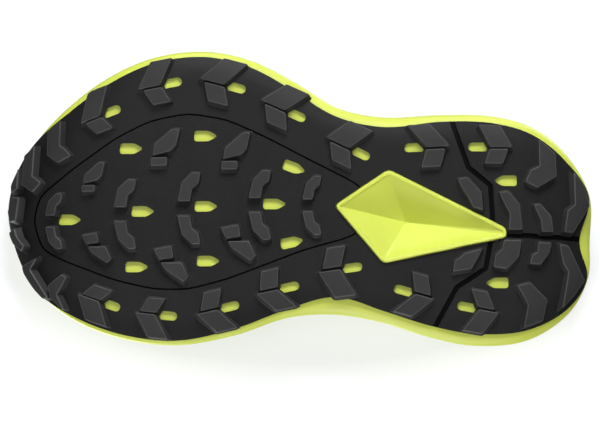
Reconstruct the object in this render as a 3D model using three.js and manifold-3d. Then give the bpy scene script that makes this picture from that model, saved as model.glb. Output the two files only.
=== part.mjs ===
// A left trail running shoe, standing on its lugs.
// Millimetres. +X points to the toe, +Y to the outer (lateral) side, +Z up, and the ground is Z = 0.
import * as THREE from "three";
import { mergeVertices } from "three/addons/utils/BufferGeometryUtils.js";
import Module from "manifold-3d";

const wasm = await Module();
wasm.setup();

// ---- Driving dimensions ----
const LUG = 4; // lug height below the rubber's base
const RUBBER = 1.6; // thickness of the rubber's base
const GAP = 0.3; // clearance between bonded or resting pieces
const TOE_BREAK = 52; // where the sole starts to rise to the toe
const TOE_END = 138;
const TOE_SPRING = 18; // steady rise of the sole at the toe tip
const TOE_WRAP = 14; // extra steep rise over the last few millimetres
const HEEL_BREAK = -96; // where the heel bevel starts
const HEEL_END = -138;
const HEEL_BEVEL = 9;
const EDGE_ROLL = 3.2; // how far the sole's edge curls up
const ROLL_WIDTH = 13;
const FOOTBED_HEEL = 33; // height of the footbed under the heel
const FOOTBED_BALL = 27; // and under the ball of the foot
const FOOTBED_TOE_RISE = 14; // how far the footbed climbs to the toe
const RIM = 6; // how far the midsole's rim stands above the footbed
const RIM_WIDTH = 4.5;
const PARTING = 0.5; // share of the midsole's height below its parting line
const PARTING_SETBACK = 0.8; // how far the wall at the parting line lies inside the widest outline
const PLATE = 1.4;
const PLATE_INSET = 14; // from the midsole's outline
const PLATE_SPAN = 180; // length of the plate's slot
const PLATE_MIDDLE = 50; // where along the shoe the slot has its middle
const BOARD = 1.5;
const INSOLE = 5;
const INSOLE_INSET = 5.2; // from the upper's bottom edge
const INSOLE_ROUND = 1.2; // how far its upper edge is drawn in
const SHELL = 1.4; // the upper's outer mesh
const OVERLAY = 0.9; // films and reinforcements on the upper
const OVERLAY_LIFT = 0.5; // from the upper's outside to the films' inside
const LINING_DEPTH = 1.8; // from the upper's outside to the linings and stiffeners
const LINING = 0.8; // thickness of a lining
const COUNTER = 1.2; // thickness of the heel counter
const LINER_DEPTH = 3.4; // from the upper's outside to the collar's lining
const COLLAR_PUFF = 3.4; // how far the padding pushes that lining in
const LACE_RADIUS = 1.25;
const AROUND = 46; // steps round the shoe
const BELOW = -30; // a height under everything
const ABOVE = 120; // and one over everything that is cut with prisms

// Stations round the shoe, from the toe tip along the outer side to the heel and back along the inner side:
// the midsole's widest outline, how far inside it the rubber and the upper's bottom edge lie,
// and the matching point on the edge of the collar and throat.
const STATIONS = [
  [[138, -9], 0.8, 14, [54, -3, 74]],
  [[134.5, 10], 0.8, 14, [53, 4, 74.5]],
  [[125, 26], 1, 15, [50, 10, 76]],
  [[110, 42], 2.2, 17, [44, 14, 79.5]],
  [[90, 56.8], 2.8, 19, [35, 16, 84.5]],
  [[68, 66.3], 2.6, 20, [25, 16.5, 89]],
  [[44, 69], 2.6, 20, [14, 16.5, 93.5]],
  [[22, 64.5], 3.2, 19, [3, 16.5, 98]],
  [[2, 54.5], 3.8, 16, [-8, 17, 102]],
  [[-18, 42.5], 4, 12, [-20, 18.5, 102]],
  [[-40, 38.2], 4.6, 12, [-42, 20.5, 91]],
  [[-66, 39.3], 3.2, 15, [-64, 20.5, 84]],
  [[-90, 38.7], 3.2, 17, [-86, 17, 86]],
  [[-110, 33], 3.2, 17, [-103, 8, 95]],
  [[-126, 20], 2.6, 16, [-112, -1, 102]],
  [[-136.5, 1], 0.6, 15, [-116, -9, 105]],
  [[-136.5, -20], 5.2, 14, [-116.5, -16, 105.5]],
  [[-135.5, -38], 0.6, 15, [-114, -25, 104]],
  [[-125.5, -55], 2.5, 18, [-106, -34, 98]],
  [[-106, -66.8], 5, 21, [-91, -42, 88]],
  [[-82, -69], 5.8, 22, [-71, -46, 83.5]],
  [[-60, -64.8], 5.5, 20, [-53, -45.5, 86]],
  [[-38, -58], 5.6, 17, [-35, -41, 94]],
  [[-16, -54.4], 8.4, 15, [-18, -33.5, 102]],
  [[6, -56], 4, 15, [-6, -29, 102]],
  [[30, -64], 3.2, 17, [5, -26, 98]],
  [[56, -68.7], 2.4, 20, [17, -23.5, 93]],
  [[80, -66.6], 2.2, 20, [29, -20.5, 87.5]],
  [[102, -59.5], 2, 19, [40, -18, 82]],
  [[119, -48], 0.8, 17, [48, -14, 78]],
  [[131, -32], 0.8, 15, [52.5, -9, 75]],
];

// The faceted recess under the arch: its rim's corners, and the point where its four faces meet.
const RECESS = [[-16.2, -3.2], [-41.4, 13.5], [-95.5, -15.4], [-39.2, -30.2]];
const RECESS_DEEPEST = [-49.7, -11];
const RECESS_DEPTH = 11;
const RECESS_LIP = 1.8; // how far the rim stands proud of the rubber
const RECESS_LIP_WIDTH = 2;

// Seams between the rubber pieces.
const POD_EDGE = [
  [125.5, -11], [122.5, 1], [107, 13.6], [86, 28.5], [70, 36.5], [52, 40], [34, 37], [16, 29], [-2, 19.6],
  [-26, 7.5], [-40, -4], [-25, -17.5], [-2, -23.8], [16, -30.7], [34, -37.5], [52, -42.3], [68, -42.3],
  [87, -38], [111, -29], [121, -24],
];
const HEEL_GROOVE = [
  [-70.2, 45], [-70.7, 37.4], [-78.9, 14.8], [-89.2, 6.3], [-90.4, -11.8], [-89.2, -20.7], [-87, -32.5],
  [-73.5, -41.4], [-63.1, -60.4], [-58, -72],
];
const SPLIT_GROOVE = [[-88, -16], [-124.3, -18.4], [-144, -20]];
const POD_SEAM = 0.8;
const GROOVE = 2.4;

// Two-armed lugs along the edges: the apex, the slit from it to the back corner,
// then the outer and the inner arm.
const CHEVRONS = [
  [[102.7, 35.6], [-8.9, 3.3], [-3.2, 14.6], [-6.2, -5.6]],
  [[75.4, 51.3], [-9.9, 1.9], [-5.5, 13], [-5.4, -7.6]],
  [[46.4, 56.3], [-10.8, -2.8], [-11.2, 9.7], [-2, -10]],
  [[17.9, 46.3], [-10.8, -4.8], [-11.9, 7.5], [-1, -9.6]],
  [[-12.6, 28.8], [-10.4, -5], [-11, 8], [-0.9, -9.7]],
  [[-69.8, 24.8], [10.4, -0.5], [9.2, 10.4], [2.5, -9.4]],
  [[-99.1, 24.3], [9.9, 0], [5.6, 10.5], [2.7, -7.6]],
  [[104.1, -44.7], [-9.9, -3.3], [-3.3, -12], [-6.3, 5]],
  [[76.8, -53.2], [-9, -0.9], [-5.9, -11.8], [-4.7, 7.3]],
  [[48, -54], [-9.4, 2.2], [-9.4, -8.7], [-1.8, 9.8]],
  [[20, -44.5], [-9.4, 2], [-9.1, -8], [-0.5, 10.2]],
  [[-8.9, -34.4], [-9.9, 1.4], [-7.6, -11.8], [-2.4, 11.1]],
  [[-62.6, -46.9], [8.5, 2.4], [10.4, -8.1], [1.4, 10.4]],
  [[-92.8, -53.4], [8.9, 1.7], [7.8, -9.8], [3.7, 9.7]],
];
const ARM_GAP = 0.14; // where the inner arm starts, as a share of its length
const ARM_SHIFT = 0.15; // how far the inner arm is moved back along the slit
const LUG_PROUD = 0.4; // how far the outermost lugs stand past the rubber's base
const SLOT = [10, 4.2]; // length and width of the window behind each of these lugs

// The pod's middle lugs are mirrored pairs: one half's outline, then each pair's centre and size.
const WING = [[2.6, 3.4], [-2.8, 3.4], [-3.8, 9], [-6.6, 11.2], [-7.6, 16], [-4, 16.2], [0.6, 11.8]];
const WING_PAIRS = [
  [117.7, -10.4, 0.8], [84.3, -7.1, 1], [54.4, -4.4, 1.03], [21.2, -2.8, 1], [-3.5, -3, 0.85],
];

// The pod's side lugs are split in two blocks: the blocks' outlines, then each lug's place and size.
const OUTER_BLOCKS = [
  [[0, 0.5], [-8.5, 2.8], [-10.8, 5.2], [-12.6, 13], [-9, 12.7], [-0.9, 5.6]],
  [[0.6, -0.5], [0.9, -4.2], [-6.6, -4], [-6.6, -0.5]],
];
const INNER_BLOCKS = [
  [[-0.9, -0.8], [-3, -4.1], [-11.4, -9.6], [-13.8, -7.4], [-10.6, -0.8]],
  [[2.4, 5.5], [0, 0.7], [-6.6, 1.6], [-5.7, 7]],
];
const OUTER_SPLITS = [[101.5, 6.8, 0.8], [68.8, 19.8, 1], [35.8, 18.1, 1]];
const INNER_SPLITS = [[100, -21.7, 0.85], [65.8, -29, 1], [34.4, -19.1, 1]];

// Hooked lugs round the toe and the heel.
const HOOKS = [
  [[112.6, 36.7], [118.6, 32.2], [118.9, 20.8], [113.8, 17],
    [107.5, 20.3], [110.8, 23.8], [112.9, 25]],
  [[124.3, 25], [128.6, 20.4], [130, 7.1], [125.2, 3.4], [121.6, 7.6], [124, 10], [125.2, 10.6]],
  [[131.2, 14.2], [134.9, 6.5], [134.7, 2.8], [131.8, 4.7]],
  [[130.9, 0.7], [134.2, 1], [136.4, -6.1], [135.4, -10.8], [132.4, -10.4]],
  [[136, -16.3], [133, -13.9], [131.8, -18.1], [128.8, -22.3], [130, -24.7], [133.8, -21.1]],
  [[123.4, -27.7], [129.6, -31.9], [128.5, -37.9], [121, -47], [118.7, -46.7], [126.2, -33.4]],
  [[112, -35.5], [118.6, -40.9], [117.6, -46.4], [112.1, -52],
    [111.2, -51.9], [114.5, -45.1], [109.6, -36.7]],
  [[-112.2, 28], [-119.8, 21.4], [-120.3, 10.8], [-111.3, 5.4],
    [-105.5, 8.1], [-108.1, 13.5], [-112.2, 15.3]],
  [[-128.9, 12.4], [-133.6, 7], [-136.4, -3.2], [-128.4, -15.8],
    [-124.3, -15.4], [-125.7, -5.4], [-129.3, -2.7]],
  [[-93.3, 3.1], [-97.4, 3.6], [-102.7, -2.7], [-104.1, -14.2],
    [-97.8, -14.2], [-98.3, -6.8], [-96, -2.7]],
  [[-109.5, -2.7], [-112.7, -2.7], [-117.6, -8.1], [-118.5, -15.3], [-113.5, -15.3], [-113, -9.9]],
  [[-73.9, 9.4], [-78.4, 9.9], [-84.7, 3.1], [-85.6, -5],
    [-81.1, -3.6], [-78.8, 0.9], [-76.2, 4.5]],
  [[-95.5, -19.2], [-103.6, -19.4], [-102.3, -27], [-96.9, -32.5],
    [-90.6, -31.6], [-91.5, -26.1], [-94.6, -23.5]],
  [[-111.8, -20.3], [-117.6, -20.7], [-116.7, -25.2], [-112.7, -30.6],
    [-107.7, -30.2], [-109, -26.1], [-111.3, -24.8]],
  [[-77.1, -25.4], [-85, -23.4], [-83.8, -26.2], [-80.2, -32.5],
    [-71.6, -33.8], [-72.5, -28.9], [-75.3, -27.1]],
  [[-121.7, -21.2], [-126.2, -22.2], [-134, -38.3], [-129.2, -45],
    [-123.4, -51.2], [-126.2, -34.2], [-123.4, -29.8]],
  [[-101.8, -40.6], [-107.7, -39.2], [-115.8, -47.3], [-113.9, -57],
    [-105, -60], [-106.8, -49.6], [-104.1, -44.2]],
];

// Windows through the rubber that end in a point: place, and heading of the point in degrees.
const POINTED_LENGTH = 10;
const POINTED_WIDTH = 5;
const POINTED = [
  [79.1, 23.5, 180], [108.1, -9.8, 180], [73.6, -5.9, 180], [44.3, 29.4, 180],
  [44, -3.5, 180], [12, -2.4, 180], [2.8, 14.6, 200], [76.5, -31.9, 180],
  [43, -29.1, 180], [3.8, -20.3, 168], [-96.4, 8.5, 0], [-92.5, -39.3, 0],
];

// ---- Materials ----
const material = (color, roughness) => new THREE.MeshStandardMaterial({ color, roughness });
const rubber = material(0x26262a, 0.7);
const foam = material(0xb9dc3c, 0.6);
const plateFilm = material(0x1b1d20, 0.35);
const meshCloth = material(0xc4e04a, 0.9);
const film = material(0x2a2c30, 0.5);
const webbing = material(0x1f2124, 0.85);
const sponge = material(0xe6e8dc, 0.95);
const liningCloth = material(0x2b2d31, 0.95);
const laceCord = material(0x202225, 0.8);
const fibreBoard = material(0xd8d4c8, 0.9);

// ---- Solids ----
function solidOf(geometry) {
  const bare = geometry.clone();
  bare.deleteAttribute("normal");
  bare.deleteAttribute("uv");
  const merged = mergeVertices(bare, 1e-3);
  return new wasm.Manifold(
    new wasm.Mesh({
      numProp: 3,
      vertProperties: merged.attributes.position.array,
      triVerts: new Uint32Array(merged.index.array),
    }),
  );
}

function geometryOf(solid) {
  const { vertProperties, triVerts } = solid.getMesh();
  const geometry = new THREE.BufferGeometry();
  geometry.setAttribute("position", new THREE.BufferAttribute(vertProperties, 3));
  geometry.setIndex(new THREE.BufferAttribute(triVerts, 1));
  geometry.computeVertexNormals();
  return geometry;
}

// A closed mesh from rings of points, from the lowest to the highest,
// with its two ends capped by triangles across the outline in plan.
function gridGeometry(rows) {
  const across = rows[0].length;
  const triangles = [];
  for (let i = 0; i < rows.length - 1; i++) {
    for (let j = 0; j < across; j++) {
      const a = i * across + j;
      const b = i * across + ((j + 1) % across);
      triangles.push(a, b, b + across, a, b + across, a + across);
    }
  }
  const outline = rows[0].map((p) => new THREE.Vector2(p.x, p.y));
  const top = (rows.length - 1) * across;
  for (const [a, b, c] of THREE.ShapeUtils.triangulateShape(outline, [])) {
    triangles.push(c, b, a, top + a, top + b, top + c);
  }
  const geometry = new THREE.BufferGeometry().setFromPoints(rows.flat());
  geometry.setIndex(triangles);
  return geometry;
}

const outward = (solid) => {
  if (solid.volume() > 0) return solid;
  throw new Error("a solid is inside out");
};

function extruded(shape, depth, curveSegments) {
  return new THREE.ExtrudeGeometry(shape, { depth, bevelEnabled: false, curveSegments });
}

function prism(points, low = BELOW, high = ABOVE) {
  const shape = new THREE.Shape(points.map(([x, y]) => new THREE.Vector2(x, y)));
  return solidOf(extruded(shape, high - low, 1).translate(0, 0, low));
}

const union = (solids) => solids.reduce((whole, next) => whole.add(next));

// ---- Outlines round the shoe ----
const closedCurve = (points) => new THREE.CatmullRomCurve3(points, true, "catmullrom", 0.5);
const edgeCurve = closedCurve(STATIONS.map(([[x, y]]) => new THREE.Vector3(x, y, 0)));
const widthCurve = closedCurve(STATIONS.map(([, margin, inset]) => new THREE.Vector3(margin, inset, 0)));
const openingCurve = closedCurve(STATIONS.map(([, , , [x, y, z]]) => new THREE.Vector3(x, y, z)));
const wrap = (t) => ((t % 1) + 1) % 1;
const marginAt = (t) => widthCurve.getPoint(wrap(t)).x;
const insetAt = (t) => widthCurve.getPoint(wrap(t)).y;

function outwardAt(t) {
  const step = 0.002;
  const along = edgeCurve.getPoint(wrap(t + step)).sub(edgeCurve.getPoint(wrap(t - step)));
  return new THREE.Vector3(along.y, -along.x, 0).normalize();
}

const insideEdge = (t, distance) => edgeCurve.getPoint(wrap(t)).addScaledVector(outwardAt(t), -distance);
const ringOf = (distance, height, steps = AROUND) =>
  Array.from({ length: steps }, (_, i) => {
    const t = i / steps;
    const p = insideEdge(t, distance(t));
    p.z = height(p.x, p.y, t);
    return p;
  });

const EDGE_POLYGON = Array.from({ length: 4 * AROUND }, (_, i) => edgeCurve.getPoint(i / (4 * AROUND)));

function distanceInside(x, y) {
  let nearest = Infinity;
  let crossings = 0;
  EDGE_POLYGON.forEach((a, i) => {
    const b = EDGE_POLYGON[(i + 1) % EDGE_POLYGON.length];
    const [run, rise] = [b.x - a.x, b.y - a.y];
    const share = ((x - a.x) * run + (y - a.y) * rise) / (run ** 2 + rise ** 2);
    const along = THREE.MathUtils.clamp(share, 0, 1);
    nearest = Math.min(nearest, Math.hypot(x - a.x - along * run, y - a.y - along * rise));
    if (a.y > y !== b.y > y && x < a.x + ((y - a.y) * (b.x - a.x)) / (b.y - a.y)) crossings++;
  });
  return crossings % 2 ? nearest : -nearest;
}

function sidesAt(x) {
  const near = EDGE_POLYGON.filter((p) => Math.abs(p.x - x) < 4).map((p) => p.y);
  return near.length ? [Math.min(...near), Math.max(...near)] : [-30, 5];
}

// ---- Heights ----
function springAt(x) {
  const toe = Math.max(0, (x - TOE_BREAK) / (TOE_END - TOE_BREAK));
  const heel = Math.max(0, (HEEL_BREAK - x) / (HEEL_BREAK - HEEL_END));
  return TOE_SPRING * toe ** 2 + TOE_WRAP * toe ** 8 + HEEL_BEVEL * heel ** 2;
}

const steepness = (x) => Math.hypot(1, springAt(x + 0.5) - springAt(x - 0.5));

function treadAt(x, y) {
  const curl = Math.max(0, 1 - Math.max(distanceInside(x, y), -2) / ROLL_WIDTH);
  return LUG + springAt(x) + EDGE_ROLL * curl ** 2;
}

function footbedAt(x) {
  const toHeel = THREE.MathUtils.smoothstep(-x, -40, 60);
  const toe = Math.max(0, (x - TOE_BREAK) / (TOE_END - TOE_BREAK));
  return THREE.MathUtils.lerp(FOOTBED_BALL, FOOTBED_HEEL, toHeel) + FOOTBED_TOE_RISE * toe ** 2;
}

const foamBottomAt = (x, y) => treadAt(x, y) + RUBBER * steepness(x) + GAP;
const partingAt = (x, y) => THREE.MathUtils.lerp(foamBottomAt(x, y), footbedAt(x), PARTING);
const rimAt = (x) => footbedAt(x) + RIM;

// A slab between two height functions, wider than the sole all round.
const SLAB_X = [
  -142, -137, -131, -124, -115, -105, -96, -80, -60, -40, -20, 0, 20,
  40, 52, 64, 76, 88, 98, 107, 115, 122, 128, 133, 137, 142,
];
const SLAB_ACROSS = [-1.12, -0.97, -0.9, -0.78, -0.4, 0, 0.4, 0.78, 0.9, 0.97, 1.12];

function slab(low, high) {
  const rows = SLAB_X.map((x) => {
    const [inner, outer] = sidesAt(x);
    const place = (share, height) => {
      const y = (inner + outer) / 2 + (share * (outer - inner)) / 2 + 2 * Math.sign(share);
      return new THREE.Vector3(x, y, height(x, y));
    };
    const bottom = SLAB_ACROSS.map((share) => place(share, low));
    const top = SLAB_ACROSS.map((share) => place(share, high)).reverse();
    return [...bottom, ...top];
  });
  return solidOf(slabGeometry(rows));
}

// Rows of flat section outlines, each one face's points and then the other's in reverse.
// The rows close on themselves if ringed; otherwise strips between the two faces cap both ends.
function slabGeometry(rows, ringed = false) {
  const across = rows[0].length;
  const triangles = [];
  for (let i = 0; i < (ringed ? rows.length : rows.length - 1); i++) {
    const next = ((i + 1) % rows.length) * across;
    for (let j = 0; j < across; j++) {
      const k = (j + 1) % across;
      const [a, b, c, d] = [i * across + j, i * across + k, next + k, next + j];
      if (j < across / 2) triangles.push(a, b, c, a, c, d);
      else triangles.push(a, b, d, b, c, d);
    }
  }
  const end = (rows.length - 1) * across;
  for (let j = 0; j < across / 2 - 1 && !ringed; j++) {
    const [a, b, c, d] = [j, j + 1, across - 2 - j, across - 1 - j];
    triangles.push(a, c, b, a, d, c, end + a, end + b, end + c, end + a, end + c, end + d);
  }
  const geometry = new THREE.BufferGeometry().setFromPoints(rows.flat());
  geometry.setIndex(triangles);
  return geometry;
}

const flat = (z) => () => z;

// A solid bounded by rings round the shoe, from the lowest to the highest.
const ringSolid = (rings) => outward(solidOf(gridGeometry(rings)));
const insetWall = (distance) => ringSolid([ringOf(distance, flat(BELOW)), ringOf(distance, flat(ABOVE))]);

// ---- Outsole ----
const add2 = ([ax, ay], [bx, by], share = 1) => [ax + bx * share, ay + by * share];

function chevronArms([apex, slit, outer, inner]) {
  const back = add2(apex, slit);
  const front = add2(apex, slit, ARM_SHIFT);
  return [
    [apex, back, add2(back, outer), add2(apex, outer)],
    [add2(front, inner, ARM_GAP), add2(back, inner, ARM_GAP), add2(back, inner), add2(front, inner)],
  ];
}

const placed = (outline, [x, y, size], mirror = 1) =>
  outline.map(([px, py]) => [x + px * size, y + py * size * mirror]);

function anticlockwise(points) {
  const area = points.reduce((sum, [x, y], i) => {
    const [nx, ny] = points[(i + 1) % points.length];
    return sum + x * ny - nx * y;
  }, 0);
  return area > 0 ? points : [...points].reverse();
}

const lugOutlines = [
  ...CHEVRONS.flatMap(chevronArms),
  ...WING_PAIRS.flatMap((pair) => [placed(WING, pair), placed(WING, pair, -1)]),
  ...OUTER_SPLITS.flatMap((at) => OUTER_BLOCKS.map((block) => placed(block, at))),
  ...INNER_SPLITS.flatMap((at) => INNER_BLOCKS.map((block) => placed(block, at))),
  ...HOOKS,
].map(anticlockwise);

function slotOutline([apex, slit]) {
  const [length, width] = SLOT;
  const size = Math.hypot(...slit);
  const along = [slit[0] / size, slit[1] / size];
  const across = [-along[1] * (width / 2), along[0] * (width / 2)];
  const start = add2(apex, slit, 1.06);
  const end = add2(start, along, length - width / 2);
  const tip = add2(end, along, width / 2);
  return [add2(start, across, -1), add2(end, across, -1), add2(tip, across, -0.4), add2(tip, across, 0.4),
    add2(end, across), add2(start, across)];
}

function pointedOutline([x, y, turn]) {
  const angle = THREE.MathUtils.degToRad(turn);
  const [cos, sin] = [Math.cos(angle), Math.sin(angle)];
  const [length, half] = [POINTED_LENGTH, POINTED_WIDTH / 2];
  const outline = [
    [-length / 2, -half], [length * 0.15, -half], [length * 0.4, -half * 0.5], [length / 2, 0],
    [length * 0.4, half * 0.5], [length * 0.15, half], [-length / 2, half],
  ];
  return outline.map(([px, py]) => [x + px * cos - py * sin, y + px * sin + py * cos]);
}

const windowOutlines = [...CHEVRONS.map(slotOutline), ...POINTED.map(pointedOutline)];
const windows = union(windowOutlines.map((outline) => prism(anticlockwise(outline))));

// A channel of constant width along a polyline, cut straight through.
function channel(line, width) {
  const side = (sign) => line.map(([x, y], i) => {
    const [ax, ay] = line[Math.max(0, i - 1)];
    const [bx, by] = line[Math.min(line.length - 1, i + 1)];
    const size = Math.hypot(bx - ax, by - ay);
    return [x - (sign * (by - ay) * width) / 2 / size, y + (sign * (bx - ax) * width) / 2 / size];
  });
  return prism(anticlockwise([...side(-1), ...side(1).reverse()]));
}

// An outline grown by a distance, from straight offsets of its edges.
function grown(points, distance) {
  const outline = anticlockwise(points);
  return outline.map(([x, y], i) => {
    const [px, py] = outline[(i + outline.length - 1) % outline.length];
    const [nx, ny] = outline[(i + 1) % outline.length];
    const a = Math.hypot(x - px, y - py);
    const b = Math.hypot(nx - x, ny - y);
    const u = [(y - py) / a, (px - x) / a];
    const v = [(ny - y) / b, (x - nx) / b];
    const scale = distance / (1 + u[0] * v[0] + u[1] * v[1]);
    return [x + (u[0] + v[0]) * scale, y + (u[1] + v[1]) * scale];
  });
}

const treadAway = (distance) => (x, y) => treadAt(x, y) + distance * steepness(x);

function outsolePieces() {
  const base = slab(treadAt, treadAway(RUBBER)).intersect(insetWall(marginAt));
  const deep = slab(treadAway(-LUG), treadAway(RUBBER * 0.5));
  const lugs = union(lugOutlines.map((outline) => prism(outline))).intersect(deep)
    .intersect(insetWall((t) => marginAt(t) - LUG_PROUD));
  const tread = base.add(lugs).subtract(windows).subtract(prism(grown(RECESS, GAP)));
  const pod = prism(anticlockwise(POD_EDGE));
  const behind = prism(anticlockwise([...HEEL_GROOVE, [-150, -72], [-150, 45]]));
  const heelLine = prism(anticlockwise([...SPLIT_GROOVE, [-144, 60], [-60, 60]]));
  const heelCut = channel(HEEL_GROOVE, GROOVE);
  const heel = tread.intersect(behind).subtract(heelCut).subtract(channel(SPLIT_GROOVE, GROOVE));
  return {
    outsole_front: tread.subtract(prism(grown(POD_EDGE, POD_SEAM / 2))).subtract(behind).subtract(heelCut),
    outsole_pod: tread.intersect(prism(grown(POD_EDGE, -POD_SEAM / 2))),
    outsole_heel_outer: heel.intersect(heelLine),
    outsole_heel_inner: heel.subtract(heelLine),
  };
}

// ---- Midsole, plate, board and insole ----
const wallOf = (levels) => ringSolid(levels.map(([distance, height]) => ringOf(distance, height)));
const between = (low, high, share) => (x, y) => THREE.MathUtils.lerp(low(x, y), high(x, y), share);
const raised = (height, by) => (x, y) => height(x, y) + by;

function pyramid(corners, mouth, apex) {
  const rim = corners.map(([x, y]) => new THREE.Vector3(x, y, mouth));
  const geometry = new THREE.BufferGeometry().setFromPoints([...rim, new THREE.Vector3(...apex)]);
  geometry.setIndex([0, 2, 1, 0, 3, 2, 0, 1, 4, 1, 2, 4, 2, 3, 4, 3, 0, 4]);
  return outward(solidOf(geometry));
}

function midsolePieces() {
  const lowerWall = wallOf([
    [(t) => marginAt(t) * 0.6, raised(foamBottomAt, -6)],
    [(t) => marginAt(t) * 0.6, raised(foamBottomAt, 1)],
    [() => 0, between(foamBottomAt, partingAt, 0.5)],
    [() => PARTING_SETBACK, raised(partingAt, -1)],
    [() => PARTING_SETBACK, raised(partingAt, 6)],
  ]);
  const recess = anticlockwise(RECESS);
  const lip = LUG - RECESS_LIP;
  const deepest = [...RECESS_DEEPEST, LUG + RECESS_DEPTH];
  const bowl = pyramid(grown(recess, -RECESS_LIP_WIDTH), lip - 0.2, deepest);
  const lower = slab(foamBottomAt, partingAt).intersect(lowerWall)
    .add(prism(recess, lip, LUG + RUBBER + 6)).subtract(bowl);
  const upperWall = wallOf([
    [() => PARTING_SETBACK, raised(partingAt, -6)],
    [() => PARTING_SETBACK, raised(partingAt, GAP + 1)],
    [(t) => (insetAt(t) - RIM_WIDTH) * 0.42, between(partingAt, rimAt, 0.5)],
    [(t) => insetAt(t) - RIM_WIDTH - 1.2, between(partingAt, rimAt, 0.92)],
    [(t) => insetAt(t) - RIM_WIDTH, raised(rimAt, 6)],
  ]);
  const bed = wallOf([
    [(t) => insetAt(t) - 1, raised(footbedAt, -8)],
    [(t) => insetAt(t) - 2.4, raised(rimAt, 8)],
  ]).intersect(slab(footbedAt, () => 150));
  const pocket = slab(raised(partingAt, -2), raised(partingAt, 2 * GAP + PLATE)).intersect(plateWall(0));
  const upper = slab(raised(partingAt, GAP), rimAt).intersect(upperWall).subtract(bed).subtract(pocket);
  const plate = slab(raised(partingAt, GAP), raised(partingAt, GAP + PLATE)).intersect(plateWall(GAP));
  return { lower, upper, plate };
}

const plateWall = (shrink) => insetWall(() => PLATE_INSET + shrink).intersect(
  solidOf(new THREE.BoxGeometry(PLATE_SPAN - 2 * shrink, 200, 300).translate(PLATE_MIDDLE, 0, 0)));

const boardBottomAt = raised(footbedAt, GAP);
const board = () => slab(boardBottomAt, raised(boardBottomAt, BOARD))
  .intersect(insetWall((t) => insetAt(t) + SHELL + 2 * GAP));
const insoleBottomAt = raised(boardBottomAt, BOARD + GAP);
const insole = () => slab(insoleBottomAt, raised(insoleBottomAt, INSOLE)).intersect(wallOf([
  [(t) => insetAt(t) + INSOLE_INSET, raised(insoleBottomAt, -4)],
  [(t) => insetAt(t) + INSOLE_INSET, raised(insoleBottomAt, INSOLE - 1.5)],
  [(t) => insetAt(t) + INSOLE_INSET + INSOLE_ROUND, raised(insoleBottomAt, INSOLE + 2)],
]));

// ---- Upper ----
// The upper's surface: u runs round the shoe, v from its bottom edge to the collar and throat.
const STATION = 1 / STATIONS.length;
const UP = new THREE.Vector3(0, 0, 1);

function upperSurface(u, v) {
  const base = insideEdge(u, insetAt(u));
  base.z = footbedAt(base.x) + 3 * GAP;
  const top = openingCurve.getPoint(wrap(u));
  const out = outwardAt(u);
  const toe = THREE.MathUtils.smoothstep(base.x, 20, 112);
  const heel = THREE.MathUtils.smoothstep(-base.x, 20, 100);
  const blend = (side, front, back) =>
    THREE.MathUtils.lerp(THREE.MathUtils.lerp(side, front, toe), back, heel);
  const low = base.clone().addScaledVector(UP, blend(27, 24, 30)).addScaledVector(out, blend(2.5, 2, 5));
  const high = top.clone().addScaledVector(UP, -blend(14, 6, 26)).addScaledVector(out, blend(11, 26, 1));
  return new THREE.CubicBezierCurve3(base, low, high, top).getPoint(v);
}

function upperNormal(u, v) {
  const h = 0.004;
  const along = upperSurface(u + h, v).sub(upperSurface(u - h, v));
  const up = upperSurface(u, Math.min(1, v + h)).sub(upperSurface(u, Math.max(0, v - h)));
  return along.cross(up).normalize();
}

// Every layer of the upper shares one grid of facets, so that layers stay apart.
const COLUMNS = 2 * STATIONS.length;
const LEVELS = 7;
const upperLevels = Array.from({ length: LEVELS + 1 }, (_, j) => j / LEVELS);
const upperGrid = Array.from({ length: COLUMNS }, (_, i) => upperLevels.map((v) => ({
  point: upperSurface(i / COLUMNS, v),
  normal: upperNormal(i / COLUMNS, v),
})));

function onUpper(u, v, out = 0) {
  const column = wrap(u) * COLUMNS;
  const level = THREE.MathUtils.clamp(v * LEVELS, 0, LEVELS - 1e-6);
  const [i, j] = [Math.floor(column + 1e-9), Math.floor(level)];
  const corner = (di, dj) => {
    const { point, normal } = upperGrid[(i + di) % COLUMNS][j + dj];
    return point.clone().addScaledVector(normal, out);
  };
  const share = Math.max(0, column - i);
  const low = corner(0, 0).lerp(corner(1, 0), share);
  return low.lerp(corner(0, 1).lerp(corner(1, 1), share), level - j);
}

// A layer of the upper from station to station, between two edges and two distances from
// the upper's outside.
function layer({ from, to, edges, inside, outside, up = 0, ringed = false }) {
  const rows = [];
  const along = Math.round(2 * (to - from));
  for (let i = 0; i < along + (ringed ? 0 : 1); i++) {
    const u = (from + i / 2) * STATION;
    const [bottom, top] = edges(i / along);
    const column = up
      ? Array.from({ length: up + 1 }, (_, j) => THREE.MathUtils.lerp(bottom, top, j / up))
      : [bottom, ...upperLevels.filter((v) => v > bottom + 0.01 && v < top - 0.01), top];
    rows.push([
      ...column.map((v) => onUpper(u, v, outside(u, v))).reverse(),
      ...column.map((v) => onUpper(u, v, inside(u, v))),
    ]);
  }
  return outward(solidOf(slabGeometry(rows, ringed)));
}

const hump = (x) => Math.sin(Math.PI * THREE.MathUtils.clamp(x, 0, 1));
const collarPuff = (u, v) =>
  COLLAR_PUFF * hump((v - 0.6) / 0.42) * Math.sqrt(hump((u / STATION - 8.9) / 13.2));

function linerDepth(u, v) {
  const level = THREE.MathUtils.clamp(v * LEVELS, 0, LEVELS - 1e-6);
  const j = Math.floor(level);
  const puff = THREE.MathUtils.lerp(collarPuff(u, j / LEVELS), collarPuff(u, (j + 1) / LEVELS), level - j);
  return LINER_DEPTH + puff;
}

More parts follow.
